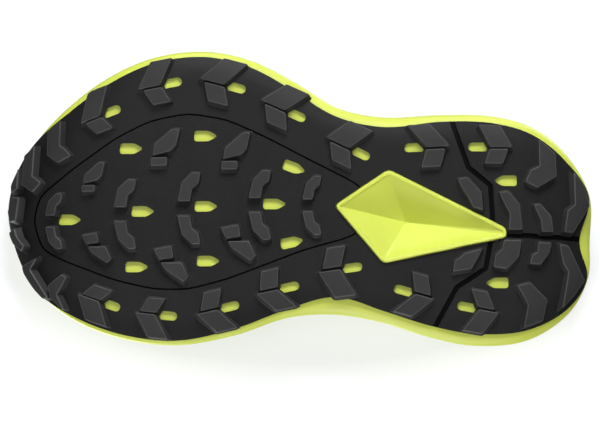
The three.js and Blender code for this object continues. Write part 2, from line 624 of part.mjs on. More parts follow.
const depthOf = (depth) => () => depth;
const outerFilm = { inside: depthOf(OVERLAY_LIFT), outside: depthOf(OVERLAY_LIFT + OVERLAY) };
const arch = (bottom, low, high) => (share) => [bottom, low + high * Math.sqrt(hump(share))];
const ROUND = STATIONS.length; // as many stations as there are, for a layer all round

const upperLayers = [
  ["upper_shell", meshCloth, {
    from: 0, to: ROUND, edges: () => [0, 1], inside: depthOf(-SHELL), outside: depthOf(0), ringed: true,
  }],
  ["vamp_lining", liningCloth, {
    from: -8.5, to: 8.5, edges: () => [0.06, 0.75],
    inside: depthOf(-LINING_DEPTH - LINING), outside: depthOf(-LINING_DEPTH),
  }],
  ["heel_counter", fibreBoard, {
    from: 11.5, to: 19.5, edges: arch(0.06, 0.25, 0.33),
    inside: depthOf(-LINING_DEPTH - COUNTER), outside: depthOf(-LINING_DEPTH), up: 4,
  }],
  ["collar_foam", sponge, {
    from: 9.5, to: 21.5, edges: () => [0.65, 0.97],
    inside: (u, v) => GAP - linerDepth(u, v), outside: depthOf(-LINING_DEPTH),
  }],
  ["collar_lining", liningCloth, {
    from: 9, to: 22, edges: () => [0.06, 0.985],
    inside: (u, v) => -LINING - linerDepth(u, v), outside: (u, v) => -linerDepth(u, v),
  }],
  ["rand", film, { from: 0, to: ROUND, edges: () => [0.12, 0.24], ...outerFilm, ringed: true }],
  ["toe_cap", film, { from: -3.5, to: 3.5, edges: arch(0.26, 0.3, 0.27), ...outerFilm, up: 3 }],
  ["side_overlay_outer", film, { from: 6, to: 8, edges: () => [0.26, 0.81], ...outerFilm }],
  ["side_overlay_inner", film, { from: -8, to: -6, edges: () => [0.26, 0.81], ...outerFilm }],
  ["heel_cover", film, { from: 12, to: 19, edges: arch(0.26, 0.31, 0.5), ...outerFilm, up: 4 }],
];

// ---- Throat: eyestays with lace loops, tongue, lace and its lock ----
const LOOP_STATIONS = [3.9, 4.9, 5.9, 6.95, 8];
const LOOP_V = 0.93;
const LOOP_LENGTH = 3;
const LOOP_WALL = 0.9;
const LOOP_BORE = LACE_RADIUS + 1.2;
const LOOP_FOOT = OVERLAY_LIFT + OVERLAY / 2; // where the loops' feet end, inside the eyestay
const LACE_RISE = OVERLAY_LIFT + OVERLAY + LACE_RADIUS + 0.8; // the lace's centre above the upper

// A frame on the upper: X along the edge to the heel, Y across to the throat, Z outward.
function frameOn(station, v, rise, side) {
  const u = side * station * STATION;
  const normal = upperNormal(u, v);
  const along = upperSurface(u + side * 0.004, v).sub(upperSurface(u - side * 0.004, v)).normalize();
  const across = new THREE.Vector3().crossVectors(normal, along).normalize();
  const origin = onUpper(u, v, rise);
  return { origin, along: new THREE.Vector3().crossVectors(across, normal).normalize(), across, normal };
}

const matrixOf = ({ origin, along, across, normal }) =>
  new THREE.Matrix4().makeBasis(along, across, normal).setPosition(origin);

const inFrame = ({ origin, along, across, normal }, x, y = 0, z = 0) =>
  origin.clone().addScaledVector(along, x).addScaledVector(across, y).addScaledVector(normal, z);

function laceLoop(station, side) {
  const shape = new THREE.Shape();
  const outer = LOOP_BORE + LOOP_WALL;
  const foot = LOOP_FOOT - LACE_RISE;
  shape.moveTo(outer, foot);
  shape.lineTo(outer, 0);
  shape.absarc(0, 0, outer, 0, Math.PI, false);
  shape.lineTo(-outer, foot);
  shape.lineTo(-LOOP_BORE, foot);
  shape.lineTo(-LOOP_BORE, 0);
  shape.absarc(0, 0, LOOP_BORE, Math.PI, 0, true);
  shape.lineTo(LOOP_BORE, foot);
  const geometry = extruded(shape, LOOP_LENGTH, 4);
  geometry.translate(0, 0, -LOOP_LENGTH / 2).rotateX(Math.PI / 2).rotateZ(Math.PI / 2);
  return solidOf(geometry.applyMatrix4(matrixOf(frameOn(station, LOOP_V, LACE_RISE, side))));
}

function eyestay(side) {
  const [from, to] = side > 0 ? [1, 8.5] : [-8.5, -1];
  const base = layer({ from, to, edges: () => [0.84, 0.985], ...outerFilm });
  return union([base, ...LOOP_STATIONS.map((station) => laceLoop(station, side))]);
}

const TONGUE_FACE = 1.2; // thickness of the tongue's outer cloth
const TONGUE_PADDING = 3.2;
const TONGUE_SINK = 3.4; // how deep the tongue lies below the throat's edges
const TONGUE_CROWN = 2.4; // how far its middle rises between them
const TONGUE_TOP = [-38, -8, 124];
const TONGUE_STATIONS = [0.9, 1.6, 2.5, 3.5, 4.5, 5.5, 6.5, 7.5, 8.2];
const TONGUE_END = 8.3; // the station where the tongue leaves the throat
const TONGUE_FREE = [[0.32, 20.5], [0.6, 20], [0.85, 19.5], [1, 15]]; // share of the way, half width

const throatMiddle = (station) => openingCurve.getPoint(wrap(station * STATION))
  .add(openingCurve.getPoint(wrap(-station * STATION))).multiplyScalar(0.5);
const tongueCentre = (station) => throatMiddle(station).addScaledVector(UP, TONGUE_CROWN - TONGUE_SINK);
const tongueTip = () => new THREE.Vector3(...TONGUE_TOP).addScaledVector(UP, -TONGUE_SINK);

function tongueLayer(sink, depth) {
  const rows = [];
  const section = (k, down) => {
    const side = (sign) => [0.84, 0.92, 0.995].map((v) => onUpper(sign * k, v, -down));
    const [a, b] = [side(1)[2], side(-1)[2]];
    const middle = [0.25, 0.5, 0.75].map((share) => {
      const p = a.clone().lerp(b, share);
      p.z += TONGUE_CROWN * hump(share);
      return p;
    });
    return [...side(1), ...middle, ...side(-1).reverse()];
  };
  for (const station of TONGUE_STATIONS) {
    const k = station * STATION;
    rows.push([...section(k, sink).reverse(), ...section(k, sink + depth)]);
  }
  const root = tongueCentre(TONGUE_END);
  const tip = tongueTip();
  const lean = tip.clone().sub(root).normalize();
  const thick = new THREE.Vector3(lean.z, 0, -lean.x).normalize();
  for (const [share, half] of TONGUE_FREE) {
    const centre = root.clone().lerp(tip, share);
    const line = (drop) => [1, 0.8, 0.6, 0.3, 0, -0.3, -0.6, -0.8, -1].map((q) => centre.clone()
      .add(new THREE.Vector3(0, q * half, 0))
      .addScaledVector(thick, TONGUE_SINK - sink - drop - 7 * q * q));
    rows.push([...line(0).reverse(), ...line(depth)]);
  }
  return outward(solidOf(slabGeometry(rows)));
}

const LOCK = [11, 14, 7.5]; // along the laces, across and high
const CLIP = [10, 12, 5.5];
const BLOCK_BEVEL = 1.6;
const BORE_CLEARANCE = 0.4;
const STRAND_APART = 3; // from the lock's middle to each strand
const BINDING_RADIUS = 1.5;
const TAB_STATION = 15.7;
const TAB_HEIGHT = 36;
const TAB_DEPTH = 8.4;
const TAB_WIDTH = 12;
const TAB_WEBBING = 1.6;
const TAB_BELOW = 9; // how far the loop reaches below its seam

function lockFrame() {
  const root = tongueCentre(TONGUE_END);
  const along = tongueTip().sub(root).normalize();
  const across = new THREE.Vector3(0, -1, 0);
  const normal = new THREE.Vector3().crossVectors(along, across).normalize();
  const origin = root.clone().addScaledVector(along, 6).addScaledVector(normal, LOCK[2] / 2 + 3);
  return { origin, along, across, normal };
}

function laceStrand(side) {
  const points = [];
  LOOP_STATIONS.forEach((station, i) => {
    const here = i % 2 ? -side : side;
    const f = frameOn(station, LOOP_V, LACE_RISE, here);
    const over = (turn) => onUpper(here * (station + turn) * STATION, 1, LACE_RISE + 0.7);
    if (i > 0) points.push(over(-0.46));
    for (const x of [-2.2, 0, 2.2]) points.push(inFrame(f, x));
    points.push(over(0.46));
    if (i < LOOP_STATIONS.length - 1) {
      const middle = tongueCentre((station + LOOP_STATIONS[i + 1]) / 2);
      middle.z += LACE_RADIUS + 3 + (side > 0 ? 2 * LACE_RADIUS + 0.9 : 0);
      points.push(middle);
    }
  });
  const lock = lockFrame();
  const end = LOOP_STATIONS.length % 2 ? side : -side;
  for (const x of [-LOCK[0] / 2 - 2, -LOCK[0] / 2, LOCK[0] / 2, LOCK[0] / 2 + 6]) {
    points.push(inFrame(lock, x, -STRAND_APART * end));
  }
  return points;
}

function lace() {
  const points = [...laceStrand(1).reverse(), ...laceStrand(-1)];
  const path = new THREE.CatmullRomCurve3(points, false, "centripetal");
  return cord(path, 130, LACE_RADIUS, 5);
}

// A round cord along a curve, with both ends closed.
function cord(path, steps, radius, sides) {
  const geometry = new THREE.TubeGeometry(path, steps, radius, sides, false);
  const position = geometry.attributes.position;
  const pointAt = (_, i) => new THREE.Vector3().fromBufferAttribute(position, i);
  const points = Array.from({ length: position.count }, pointAt);
  const first = points.push(path.getPoint(0)) - 1;
  const last = points.push(path.getPoint(1)) - 1;
  const triangles = [...geometry.index.array];
  const end = steps * (sides + 1);
  for (let j = 0; j < sides; j++) triangles.push(first, j, j + 1, last, end + j + 1, end + j);
  const closed = new THREE.BufferGeometry().setFromPoints(points);
  closed.setIndex(triangles);
  return outward(solidOf(closed));
}

// A block with two bores for the lace's strands, along its frame's X.
function laceBlock(frame, [along, across, high], boreDepth) {
  const r = BLOCK_BEVEL;
  const [w, h] = [across / 2, high / 2];
  const outline = [
    [-w, -h + r], [-w + r, -h], [w - r, -h], [w, -h + r],
    [w, h - r], [w - r, h], [-w + r, h], [-w, h - r],
  ];
  const block = prism(anticlockwise(outline), -along / 2, along / 2);
  const bore = LACE_RADIUS + BORE_CLEARANCE;
  const bores = [-STRAND_APART, STRAND_APART].map((y) => solidOf(
    new THREE.CylinderGeometry(bore, bore, boreDepth, 10).rotateX(Math.PI / 2)
      .translate(y, 0, boreDepth / 2 - along / 2 - 1)));
  const geometry = geometryOf(block.subtract(union(bores)));
  const turned = geometry.applyMatrix4(new THREE.Matrix4().makeBasis(
    new THREE.Vector3(0, 1, 0), new THREE.Vector3(0, 0, 1), new THREE.Vector3(1, 0, 0)));
  return outward(solidOf(turned.applyMatrix4(matrixOf(frame))));
}

const lock = () => laceBlock(lockFrame(), LOCK, LOCK[0] + 4);

function endClip() {
  const frame = lockFrame();
  frame.origin.addScaledVector(frame.along, LOCK[0] / 2 + 4 + CLIP[0] / 2);
  return laceBlock(frame, CLIP, 5);
}

function collarBinding() {
  const points = Array.from({ length: 30 }, (_, i) => {
    const u = THREE.MathUtils.lerp(9.5, 21.5, i / 29) * STATION;
    const rise = upperSurface(u, 1).sub(upperSurface(u, 0.98)).normalize();
    return onUpper(u, 1, -LINING_DEPTH).addScaledVector(rise, BINDING_RADIUS + GAP + 0.1);
  });
  return cord(new THREE.CatmullRomCurve3(points), 44, BINDING_RADIUS, 6);
}

// A webbing loop behind the heel, folded on itself and sewn at its lower end.
function pullTab() {
  const heel = onUpper(TAB_STATION * STATION, 0.8, GAP + OVERLAY);
  const capsule = (inset) => {
    const r = TAB_DEPTH / 2 - inset;
    const shape = new THREE.Shape();
    shape.absarc(0, TAB_HEIGHT / 2 - TAB_DEPTH / 2, r, 0, Math.PI, false);
    shape.absarc(0, -TAB_HEIGHT / 2 + TAB_DEPTH / 2, r, Math.PI, 2 * Math.PI, false);
    return shape;
  };
  const band = capsule(0);
  band.holes.push(new THREE.Path(capsule(TAB_WEBBING).getPoints(6)));
  const geometry = extruded(band, TAB_WIDTH, 6);
  geometry.translate(0, 0, -TAB_WIDTH / 2).rotateX(Math.PI / 2);
  geometry.translate(heel.x - TAB_DEPTH / 2 - TAB_WEBBING, heel.y, heel.z + TAB_HEIGHT / 2 - TAB_BELOW);
  return solidOf(geometry);
}

// ---- The shoe ----
const shoe = new THREE.Group();
shoe.name = "trail_running_shoe";
function part(name, solid, look) {
  const mesh = new THREE.Mesh(geometryOf(solid), look);
  mesh.name = name;
  shoe.add(mesh);
}

for (const [name, solid] of Object.entries(outsolePieces())) part(name, solid, rubber);
const midsole = midsolePieces();
part("midsole_lower", midsole.lower, foam);
part("rock_plate", midsole.plate, plateFilm);
part("midsole_upper", midsole.upper, foam);
part("strobel_board", board(), fibreBoard);
part("insole", insole(), liningCloth);
for (const [name, look, spec] of upperLayers) part(name, layer(spec), look);
part("eyestay_outer", eyestay(1), webbing);
part("eyestay_inner", eyestay(-1), webbing);
part("tongue_face", tongueLayer(TONGUE_SINK, TONGUE_FACE), meshCloth);
part("tongue_padding", tongueLayer(TONGUE_SINK + TONGUE_FACE + 1.1, TONGUE_PADDING), sponge);
part("collar_binding", collarBinding(), webbing);
part("heel_pull_tab", pullTab(), webbing);
part("lace", lace(), laceCord);
part("lace_lock", lock(), film);
part("lace_end_clip", endClip(), film);

// The origin is the middle of the shoe's footprint.
const extent = new THREE.Box3().setFromObject(shoe);
shoe.position.x = -(extent.min.x + extent.max.x) / 2;
shoe.position.y = -(extent.min.y + extent.max.y) / 2;
shoe.updateMatrixWorld(true);

export default shoe;
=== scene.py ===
"""A left trail running shoe, standing on its lugs: +X to the toe, +Y to the outer side, +Z up, in metres."""

import math

import bmesh
import bpy
import numpy as np
from bpy.props import FloatProperty, FloatVectorProperty, PointerProperty
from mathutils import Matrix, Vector, geometry


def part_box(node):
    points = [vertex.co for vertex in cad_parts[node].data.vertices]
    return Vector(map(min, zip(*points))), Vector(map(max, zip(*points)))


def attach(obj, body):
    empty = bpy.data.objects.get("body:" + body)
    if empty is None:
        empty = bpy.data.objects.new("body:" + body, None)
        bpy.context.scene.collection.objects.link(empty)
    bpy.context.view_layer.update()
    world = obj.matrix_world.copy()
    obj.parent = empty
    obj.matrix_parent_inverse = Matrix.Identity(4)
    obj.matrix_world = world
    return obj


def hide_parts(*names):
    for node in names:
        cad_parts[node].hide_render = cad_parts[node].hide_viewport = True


bl_info = {
    "name": "Trail running shoe",
    "version": (1, 0, 0),
    "blender": (4, 5, 0),
    "location": "3D View > Sidebar > Shoe",
    "description": "Builds a left trail running shoe around its measured frame",
    "category": "Add Mesh",
}

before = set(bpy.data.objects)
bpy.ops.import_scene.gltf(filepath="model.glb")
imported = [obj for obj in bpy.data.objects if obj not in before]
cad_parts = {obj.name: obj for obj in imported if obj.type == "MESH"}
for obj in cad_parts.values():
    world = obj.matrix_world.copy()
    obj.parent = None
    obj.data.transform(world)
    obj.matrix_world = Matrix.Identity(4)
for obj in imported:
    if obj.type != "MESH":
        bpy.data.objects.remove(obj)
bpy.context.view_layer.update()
MM = 0.001

# Stations round the shoe, in millimetres, from the toe tip along the outer side to the heel and back along the
# inner side: the midsole's widest outline, how far inside it the rubber and the upper's bottom edge lie, and the
# matching point on the edge of the collar and throat.
STATIONS = [
    ((138, -9), 0.8, 14, (54, -3, 74)),
    ((134.5, 10), 0.8, 14, (53, 4, 74.5)),
    ((125, 26), 1, 15, (50, 10, 76)),
    ((110, 42), 2.2, 17, (44, 14, 79.5)),
    ((90, 56.8), 2.8, 19, (35, 16, 84.5)),
    ((68, 66.3), 2.6, 20, (25, 16.5, 89)),
    ((44, 69), 2.6, 20, (14, 16.5, 93.5)),
    ((22, 64.5), 3.2, 19, (3, 16.5, 98)),
    ((2, 54.5), 3.8, 16, (-8, 17, 102)),
    ((-18, 42.5), 4, 12, (-20, 18.5, 102)),
    ((-40, 38.2), 4.6, 12, (-42, 20.5, 91)),
    ((-66, 39.3), 3.2, 15, (-64, 20.5, 84)),
    ((-90, 38.7), 3.2, 17, (-86, 17, 86)),
    ((-110, 33), 3.2, 17, (-103, 8, 95)),
    ((-126, 20), 2.6, 16, (-112, -1, 102)),
    ((-136.5, 1), 0.6, 15, (-116, -9, 105)),
    ((-136.5, -20), 5.2, 14, (-116.5, -16, 105.5)),
    ((-135.5, -38), 0.6, 15, (-114, -25, 104)),
    ((-125.5, -55), 2.5, 18, (-106, -34, 98)),
    ((-106, -66.8), 5, 21, (-91, -42, 88)),
    ((-82, -69), 5.8, 22, (-71, -46, 83.5)),
    ((-60, -64.8), 5.5, 20, (-53, -45.5, 86)),
    ((-38, -58), 5.6, 17, (-35, -41, 94)),
    ((-16, -54.4), 8.4, 15, (-18, -33.5, 102)),
    ((6, -56), 4, 15, (-6, -29, 102)),
    ((30, -64), 3.2, 17, (5, -26, 98)),
    ((56, -68.7), 2.4, 20, (17, -23.5, 93)),
    ((80, -66.6), 2.2, 20, (29, -20.5, 87.5)),
    ((102, -59.5), 2, 19, (40, -18, 82)),
    ((119, -48), 0.8, 17, (48, -14, 78)),
    ((131, -32), 0.8, 15, (52.5, -9, 75)),
]
STATION = 1 / len(STATIONS)

# Heights and thicknesses, in millimetres.
LUG = 4
RUBBER = 1.6
TOE_BREAK, TOE_END, TOE_SPRING, TOE_WRAP = 52, 138, 18, 14
HEEL_BREAK, HEEL_END, HEEL_BEVEL = -96, -138, 9
EDGE_ROLL, ROLL_WIDTH = 3.2, 13
FOOTBED_HEEL, FOOTBED_BALL, FOOTBED_TOE_RISE, RIM, RIM_WIDTH = 33, 27, 14, 6, 4.5
GAP, SHELL, FILM_FOOT, FILM = 0.3, 1.4, 0.5, 0.9

# The faceted recess under the arch: its rim's corners, and the point where its faces meet.
RECESS = [(-16.2, -3.2), (-41.4, 13.8), (-96.4, -13.6), (-96.8, -18.0), (-39.2, -30.2)]
RECESS_DEEPEST = (-49.7, -11, 15)
RECESS_LIP = 1.8  # how far the rim stands proud of the rubber

POD_EDGE = [
    (125.5, -11), (122.5, 1), (107, 13.6), (86, 28.5), (70, 36.5), (52, 40), (34, 37), (16, 29), (-2, 19.6),
    (-26, 7.5), (-40, -4), (-25, -17.5), (-2, -23.8), (16, -30.7), (34, -37.5), (52, -42.3), (68, -42.3),
    (87, -38), (111, -29), (121, -24),
]
HEEL_GROOVE = [
    (-70.2, 45), (-70.7, 37.4), (-78.9, 14.8), (-89.2, 6.3), (-90.4, -11.8), (-89.2, -20.7), (-87, -32.5),
    (-73.5, -41.4), (-63.1, -60.4), (-58, -72),
]
SPLIT_GROOVE = [(-88, -16), (-124.3, -18.4), (-144, -20)]
POD_SEAM, GROOVE = 0.8, 2.4
CHANNEL = 1.25  # from the tread to the floor of a groove
LUG_MARGIN, LUG_MARGIN_AT_TOE = 0.8, 1.9  # the edge lugs' distance from the outline, and what the toe takes off it
# A lug's walls from its flared foot to its chamfered top: how far out, and at what share of the height.
LUG_PROFILE = ((1.5, -0.03), (1.1, 0.03), (0.9, 0.1), (0.82, 0.2), (0.2, 0.87), (0.13, 0.91), (-0.3, 1.0))
LUG_SLANT = 0.6  # how far a lug's foot is drawn to the inner side

# Two-armed lugs: the apex, the slit from it to the back corner, then the outer and inner arms.
CHEVRONS = [
    ((102.7, 35.6), (-8.9, 3.3), (-3.2, 14.6), (-6.2, -5.6)),
    ((75.4, 51.3), (-9.9, 1.9), (-5.5, 13), (-5.4, -7.6)),
    ((46.4, 56.3), (-10.8, -2.8), (-11.2, 9.7), (-2, -10)),
    ((17.9, 46.3), (-10.8, -4.8), (-11.9, 7.5), (-1, -9.6)),
    ((-12.6, 28.8), (-10.4, -5), (-11, 8), (-0.9, -9.7)),
    ((-69.8, 24.8), (10.4, -0.5), (9.2, 10.4), (2.5, -9.4)),
    ((-99.1, 24.3), (9.9, 0), (5.6, 10.5), (2.7, -7.6)),
    ((104.1, -44.7), (-9.9, -3.3), (-3.3, -12), (-6.3, 5)),
    ((76.8, -53.2), (-9, -0.9), (-5.9, -11.8), (-4.7, 7.3)),
    ((48, -54), (-9.4, 2.2), (-9.4, -8.7), (-1.8, 9.8)),
    ((20, -44.5), (-9.4, 2), (-9.1, -8), (-0.5, 10.2)),
    ((-8.9, -34.4), (-9.9, 1.4), (-7.6, -11.8), (-2.4, 11.1)),
    ((-62.6, -46.9), (8.5, 2.4), (10.4, -8.1), (1.4, 10.4)),
    ((-92.8, -53.4), (8.9, 1.7), (7.8, -9.8), (3.7, 9.7)),
]
ARM_GAP, ARM_SHIFT = 0.14, 0.15  # where the inner arm starts, along itself and along the slit
SLOT_LENGTH, SLOT_WIDTH = 10, 4.2
POINTED_LENGTH, POINTED_WIDTH = 10.4, 5

# The pod's middle lugs are mirrored pairs: half an outline, then each pair's centre and size.
WING = [(2.6, 3.4), (-2.8, 3.4), (-3.8, 9), (-6.6, 11.2), (-7.6, 16), (-4, 16.2), (0.6, 11.8)]
WING_PAIRS = [(117.7, -10.4, 0.8), (84.3, -7.1, 1), (54.4, -4.4, 1.03), (21.2, -2.8, 1), (-3.5, -3, 0.85)]
# The pod's side lugs are split in two blocks: the blocks, then each lug's place and size.
OUTER_BLOCKS = [
    [(0, 0.5), (-8.5, 2.8), (-10.8, 5.2), (-12.6, 13), (-9, 12.7), (-0.9, 5.6)],
    [(0.6, -0.5), (0.9, -4.2), (-6.6, -4), (-6.6, -0.5)],
]
INNER_BLOCKS = [
    [(-0.9, -0.8), (-3, -4.1), (-11.4, -9.6), (-13.8, -7.4), (-10.6, -0.8)],
    [(2.4, 5.5), (0, 0.7), (-6.6, 1.6), (-5.7, 7)],
]
OUTER_SPLITS = [(101.5, 6.8, 0.8), (68.8, 19.8, 1), (35.8, 18.1, 1)]
INNER_SPLITS = [(100, -21.7, 0.85), (65.8, -29, 1), (34.4, -19.1, 1)]
# Hooked lugs round the toe and the heel, and how far the toe's are moved out.
HOOK_REACH = 2.2
HOOKS = [
    [(112.6, 36.7), (118.6, 32.2), (118.9, 20.8), (113.8, 17), (107.5, 20.3), (110.8, 23.8), (112.9, 25)],
    [(124.3, 25), (128.6, 20.4), (130, 7.1), (125.2, 3.4), (121.6, 7.6), (124, 10), (125.2, 10.6)],
    [(131.2, 14.2), (134.9, 6.5), (134.7, 2.8), (131.8, 4.7)],
    [(130.9, 0.7), (134.2, 1), (136.4, -6.1), (135.4, -10.8), (132.4, -10.4)],
    [(136, -16.3), (133, -13.9), (131.8, -18.1), (128.8, -22.3), (130, -24.7), (133.8, -21.1)],
    [(123.4, -27.7), (129.6, -31.9), (128.5, -37.9), (121, -47), (118.7, -46.7), (126.2, -33.4)],
    [(112, -35.5), (118.6, -40.9), (117.6, -46.4), (112.1, -52),
     (111.2, -51.9), (114.5, -45.1), (109.6, -36.7)],
    [(-112.2, 28), (-119.8, 21.4), (-120.3, 10.8), (-111.3, 5.4),
     (-105.5, 8.1), (-108.1, 13.5), (-112.2, 15.3)],
    [(-128.9, 12.4), (-133.6, 7), (-136.4, -3.2), (-128.4, -15.8),
     (-124.3, -15.4), (-125.7, -5.4), (-129.3, -2.7)],
    [(-93.3, 3.1), (-97.4, 3.6), (-102.7, -2.7), (-104.1, -14.2),
     (-97.8, -14.2), (-98.3, -6.8), (-96, -2.7)],
    [(-109.5, -2.7), (-112.7, -2.7), (-117.6, -8.1), (-118.5, -15.3), (-113.5, -15.3), (-113, -9.9)],
    [(-73.9, 9.4), (-78.4, 9.9), (-84.7, 3.1), (-85.6, -5), (-81.1, -3.6), (-78.8, 0.9), (-76.2, 4.5)],
    [(-95.5, -19.2), (-103.6, -19.4), (-102.3, -27), (-96.9, -32.5),
     (-90.6, -31.6), (-91.5, -26.1), (-94.6, -23.5)],
    [(-111.8, -20.3), (-117.6, -20.7), (-116.7, -25.2), (-112.7, -30.6),
     (-107.7, -30.2), (-109, -26.1), (-111.3, -24.8)],
    [(-77.1, -25.4), (-85, -23.4), (-83.8, -26.2), (-80.2, -32.5),
     (-71.6, -33.8), (-72.5, -28.9), (-75.3, -27.1)],
    [(-121.7, -21.2), (-126.2, -22.2), (-134, -38.3), (-129.2, -45),
     (-123.4, -51.2), (-126.2, -34.2), (-123.4, -29.8)],
    [(-101.8, -40.6), (-107.7, -39.2), (-115.8, -47.3), (-113.9, -57),
     (-105, -60), (-106.8, -49.6), (-104.1, -44.2)],
]
# Pointed windows: place, and heading of the point in degrees.
POINTED = [
    (79.1, 23.5, 180), (108.1, -9.8, 180), (73.6, -5.9, 180), (44.3, 29.4, 180), (44, -3.5, 180), (12, -2.4, 180),
    (2.8, 14.6, 200), (76.5, -31.9, 180), (43, -29.1, 180), (3.8, -20.3, 168), (-96.4, 8.5, 0), (-92.5, -39.3, 0),
]

BINDING_RADIUS = 1.5
LOOP_STATIONS = [3.9, 4.9, 5.9, 6.95, 8]
LOOP_V = 0.93
LACE_RADIUS = 1.25
LINING_DEPTH, LINING, LINER_DEPTH, COLLAR_PUFF = 1.8, 0.8, 3.4, 3.4
BOARD = 1.5
TONGUE_SINK, TONGUE_CROWN, TONGUE_CURL = 3.4, 2.4, 7
TONGUE_STATIONS = (0.9, 1.6, 2.5, 3.5, 4.5, 5.5, 6.5, 7.5, 8.2)
TONGUE_END = 8.3  # the station where the tongue leaves the throat
TONGUE_FREE = ((0.32, 20.5), (0.6, 20), (0.85, 19.5), (0.96, 17), (1, 13))  # share of the way, half width
TONGUE_TOP = (-38, -8, 124)
LOCK, CLIP, STRAND_APART = (11, 14, 7.5), (10, 12, 5.5), 3


# ---- Curves and heights ----
def unit(vectors):
    return vectors / np.linalg.norm(vectors, axis=-1, keepdims=True)


def run_along(points):
    """How far along a line each of its points lies."""
    return np.concatenate([[0], np.cumsum(np.linalg.norm(np.diff(points, axis=0), axis=1))])


def smooth_step(a, b, c, d, f):
    """The place at a share f of the way from b to c, on a smooth curve through all four points."""
    return 0.5 * (2 * b + (c - a) * f + (2 * a - 5 * b + 4 * c - d) * f**2 + (3 * b - a - 3 * c + d) * f**3)


def closed_curve(points):
    """A smooth closed curve through the points, as a function of 0 to 1."""
    p = np.array(points, float)
    n = len(p)

    def at(t):
        s = (np.asarray(t, float) % 1) * n
        i = np.floor(s).astype(int)
        f = (s - i)[..., None]
        return smooth_step(*(p[(i + k) % n] for k in (-1, 0, 1, 2)), f)

    return at


edge_at = closed_curve([s[0] for s in STATIONS])
width_at = closed_curve([s[1:3] for s in STATIONS])
opening_at = closed_curve([s[3] for s in STATIONS])


def places_round(steps):
    return np.arange(steps) / steps


def margin_at(t):
    return width_at(t)[..., 0]


def rim_margin_at(t):
    """The rubber's edge, which wraps right round the toe."""
    return margin_at(t) - 1.1 * smooth(108, 128, edge_at(t)[..., 0])


def inset_at(t):
    return width_at(t)[..., 1]


def outward_at(t):
    along = edge_at(np.asarray(t) + 0.002) - edge_at(np.asarray(t) - 0.002)
    return unit(np.stack([along[..., 1], -along[..., 0]], -1))


def inside_edge(t, distance):
    return edge_at(t) - outward_at(t) * np.asarray(distance)[..., None]


ROUND = 620  # steps round the shoe
EDGE = edge_at(places_round(ROUND))


def contains(outline, points):
    """Which of the points lie inside a closed outline."""
    o = np.asarray(outline, float)
    p = np.asarray(points, float)
    inside = np.zeros(len(p), bool)
    for a, b in zip(o, np.roll(o, -1, 0)):
        if a[1] == b[1]:
            continue
        crosses = (a[1] > p[:, 1]) != (b[1] > p[:, 1])
        inside ^= crosses & (p[:, 0] < a[0] + (p[:, 1] - a[1]) * (b[0] - a[0]) / (b[1] - a[1]))
    return inside


def distance_inside(x, y):
    p = np.stack([np.ravel(x), np.ravel(y)], -1)
    a, b = EDGE, np.roll(EDGE, -1, 0)
    along = b - a
    nearest = np.full(len(p), np.inf)
    for i in range(0, len(p), 4000):
        block = p[i : i + 4000, None]
        share = np.clip(((block - a) * along).sum(-1) / (along**2).sum(-1), 0, 1)
        nearest[i : i + 4000] = np.linalg.norm(block - a - share[..., None] * along, axis=-1).min(1)
    return np.where(contains(EDGE, p), nearest, -nearest).reshape(np.shape(x))


def spring_at(x):
    toe = np.maximum(0, (x - TOE_BREAK) / (TOE_END - TOE_BREAK))
    heel = np.maximum(0, (HEEL_BREAK - x) / (HEEL_BREAK - HEEL_END))
    return TOE_SPRING * toe**2 + TOE_WRAP * toe**8 + HEEL_BEVEL * heel**2


def steepness(x):
    return np.hypot(1, spring_at(x + 0.5) - spring_at(x - 0.5))


def tread_at(x, y):
    curl = np.maximum(0, 1 - np.maximum(distance_inside(x, y), -2) / ROLL_WIDTH)
    return LUG + spring_at(x) + EDGE_ROLL * curl**2


def smooth(low, high, x):
    s = np.clip((np.asarray(x, float) - low) / (high - low), 0, 1)
    return s * s * (3 - 2 * s)


def footbed_at(x):
    toe = np.maximum(0, (x - TOE_BREAK) / (TOE_END - TOE_BREAK))
    return FOOTBED_BALL + (FOOTBED_HEEL - FOOTBED_BALL) * smooth(-40, 60, -x) + FOOTBED_TOE_RISE * toe**2


def rubber_top_at(x, y):
    return tread_at(x, y) + RUBBER * steepness(x)


def foam_bottom_at(x, y):
    return rubber_top_at(x, y) + GAP


def parting_at(x, y):
    return 0.5 * (foam_bottom_at(x, y) + footbed_at(x))


# The frame is centred on its footprint, so the drawing above moves with it.
low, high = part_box("midsole_lower")
SHIFT = np.array([*(np.array(low[:2]) + np.array(high[:2])) / 2 / MM - (EDGE.max(0) + EDGE.min(0)) / 2, 0])


# ---- Meshes ----
def facing(where, faces, up):
    """Plan triangles that are all turned to face up, or all down."""
    a, b, c = (where[faces[:, k]] for k in range(3))
    turned = np.cross(b - a, c - a) * (1 if up else -1) < 0
    return np.where(turned[:, None], faces[:, ::-1], faces)


def rows_faces(rows, across, closed_rows=False, closed_across=False):
    faces = []
    for i in range(rows if closed_rows else rows - 1):
        for j in range(across if closed_across else across - 1):
            k, n = (j + 1) % across, (i + 1) % rows
            faces.append((i * across + j, i * across + k, n * across + k, n * across + j))
    return faces


def end_faces(rows, across):
    """The two faces that close a tube of rows at its ends."""
    return [tuple(range(across))[::-1], tuple((rows - 1) * across + k for k in range(across))]


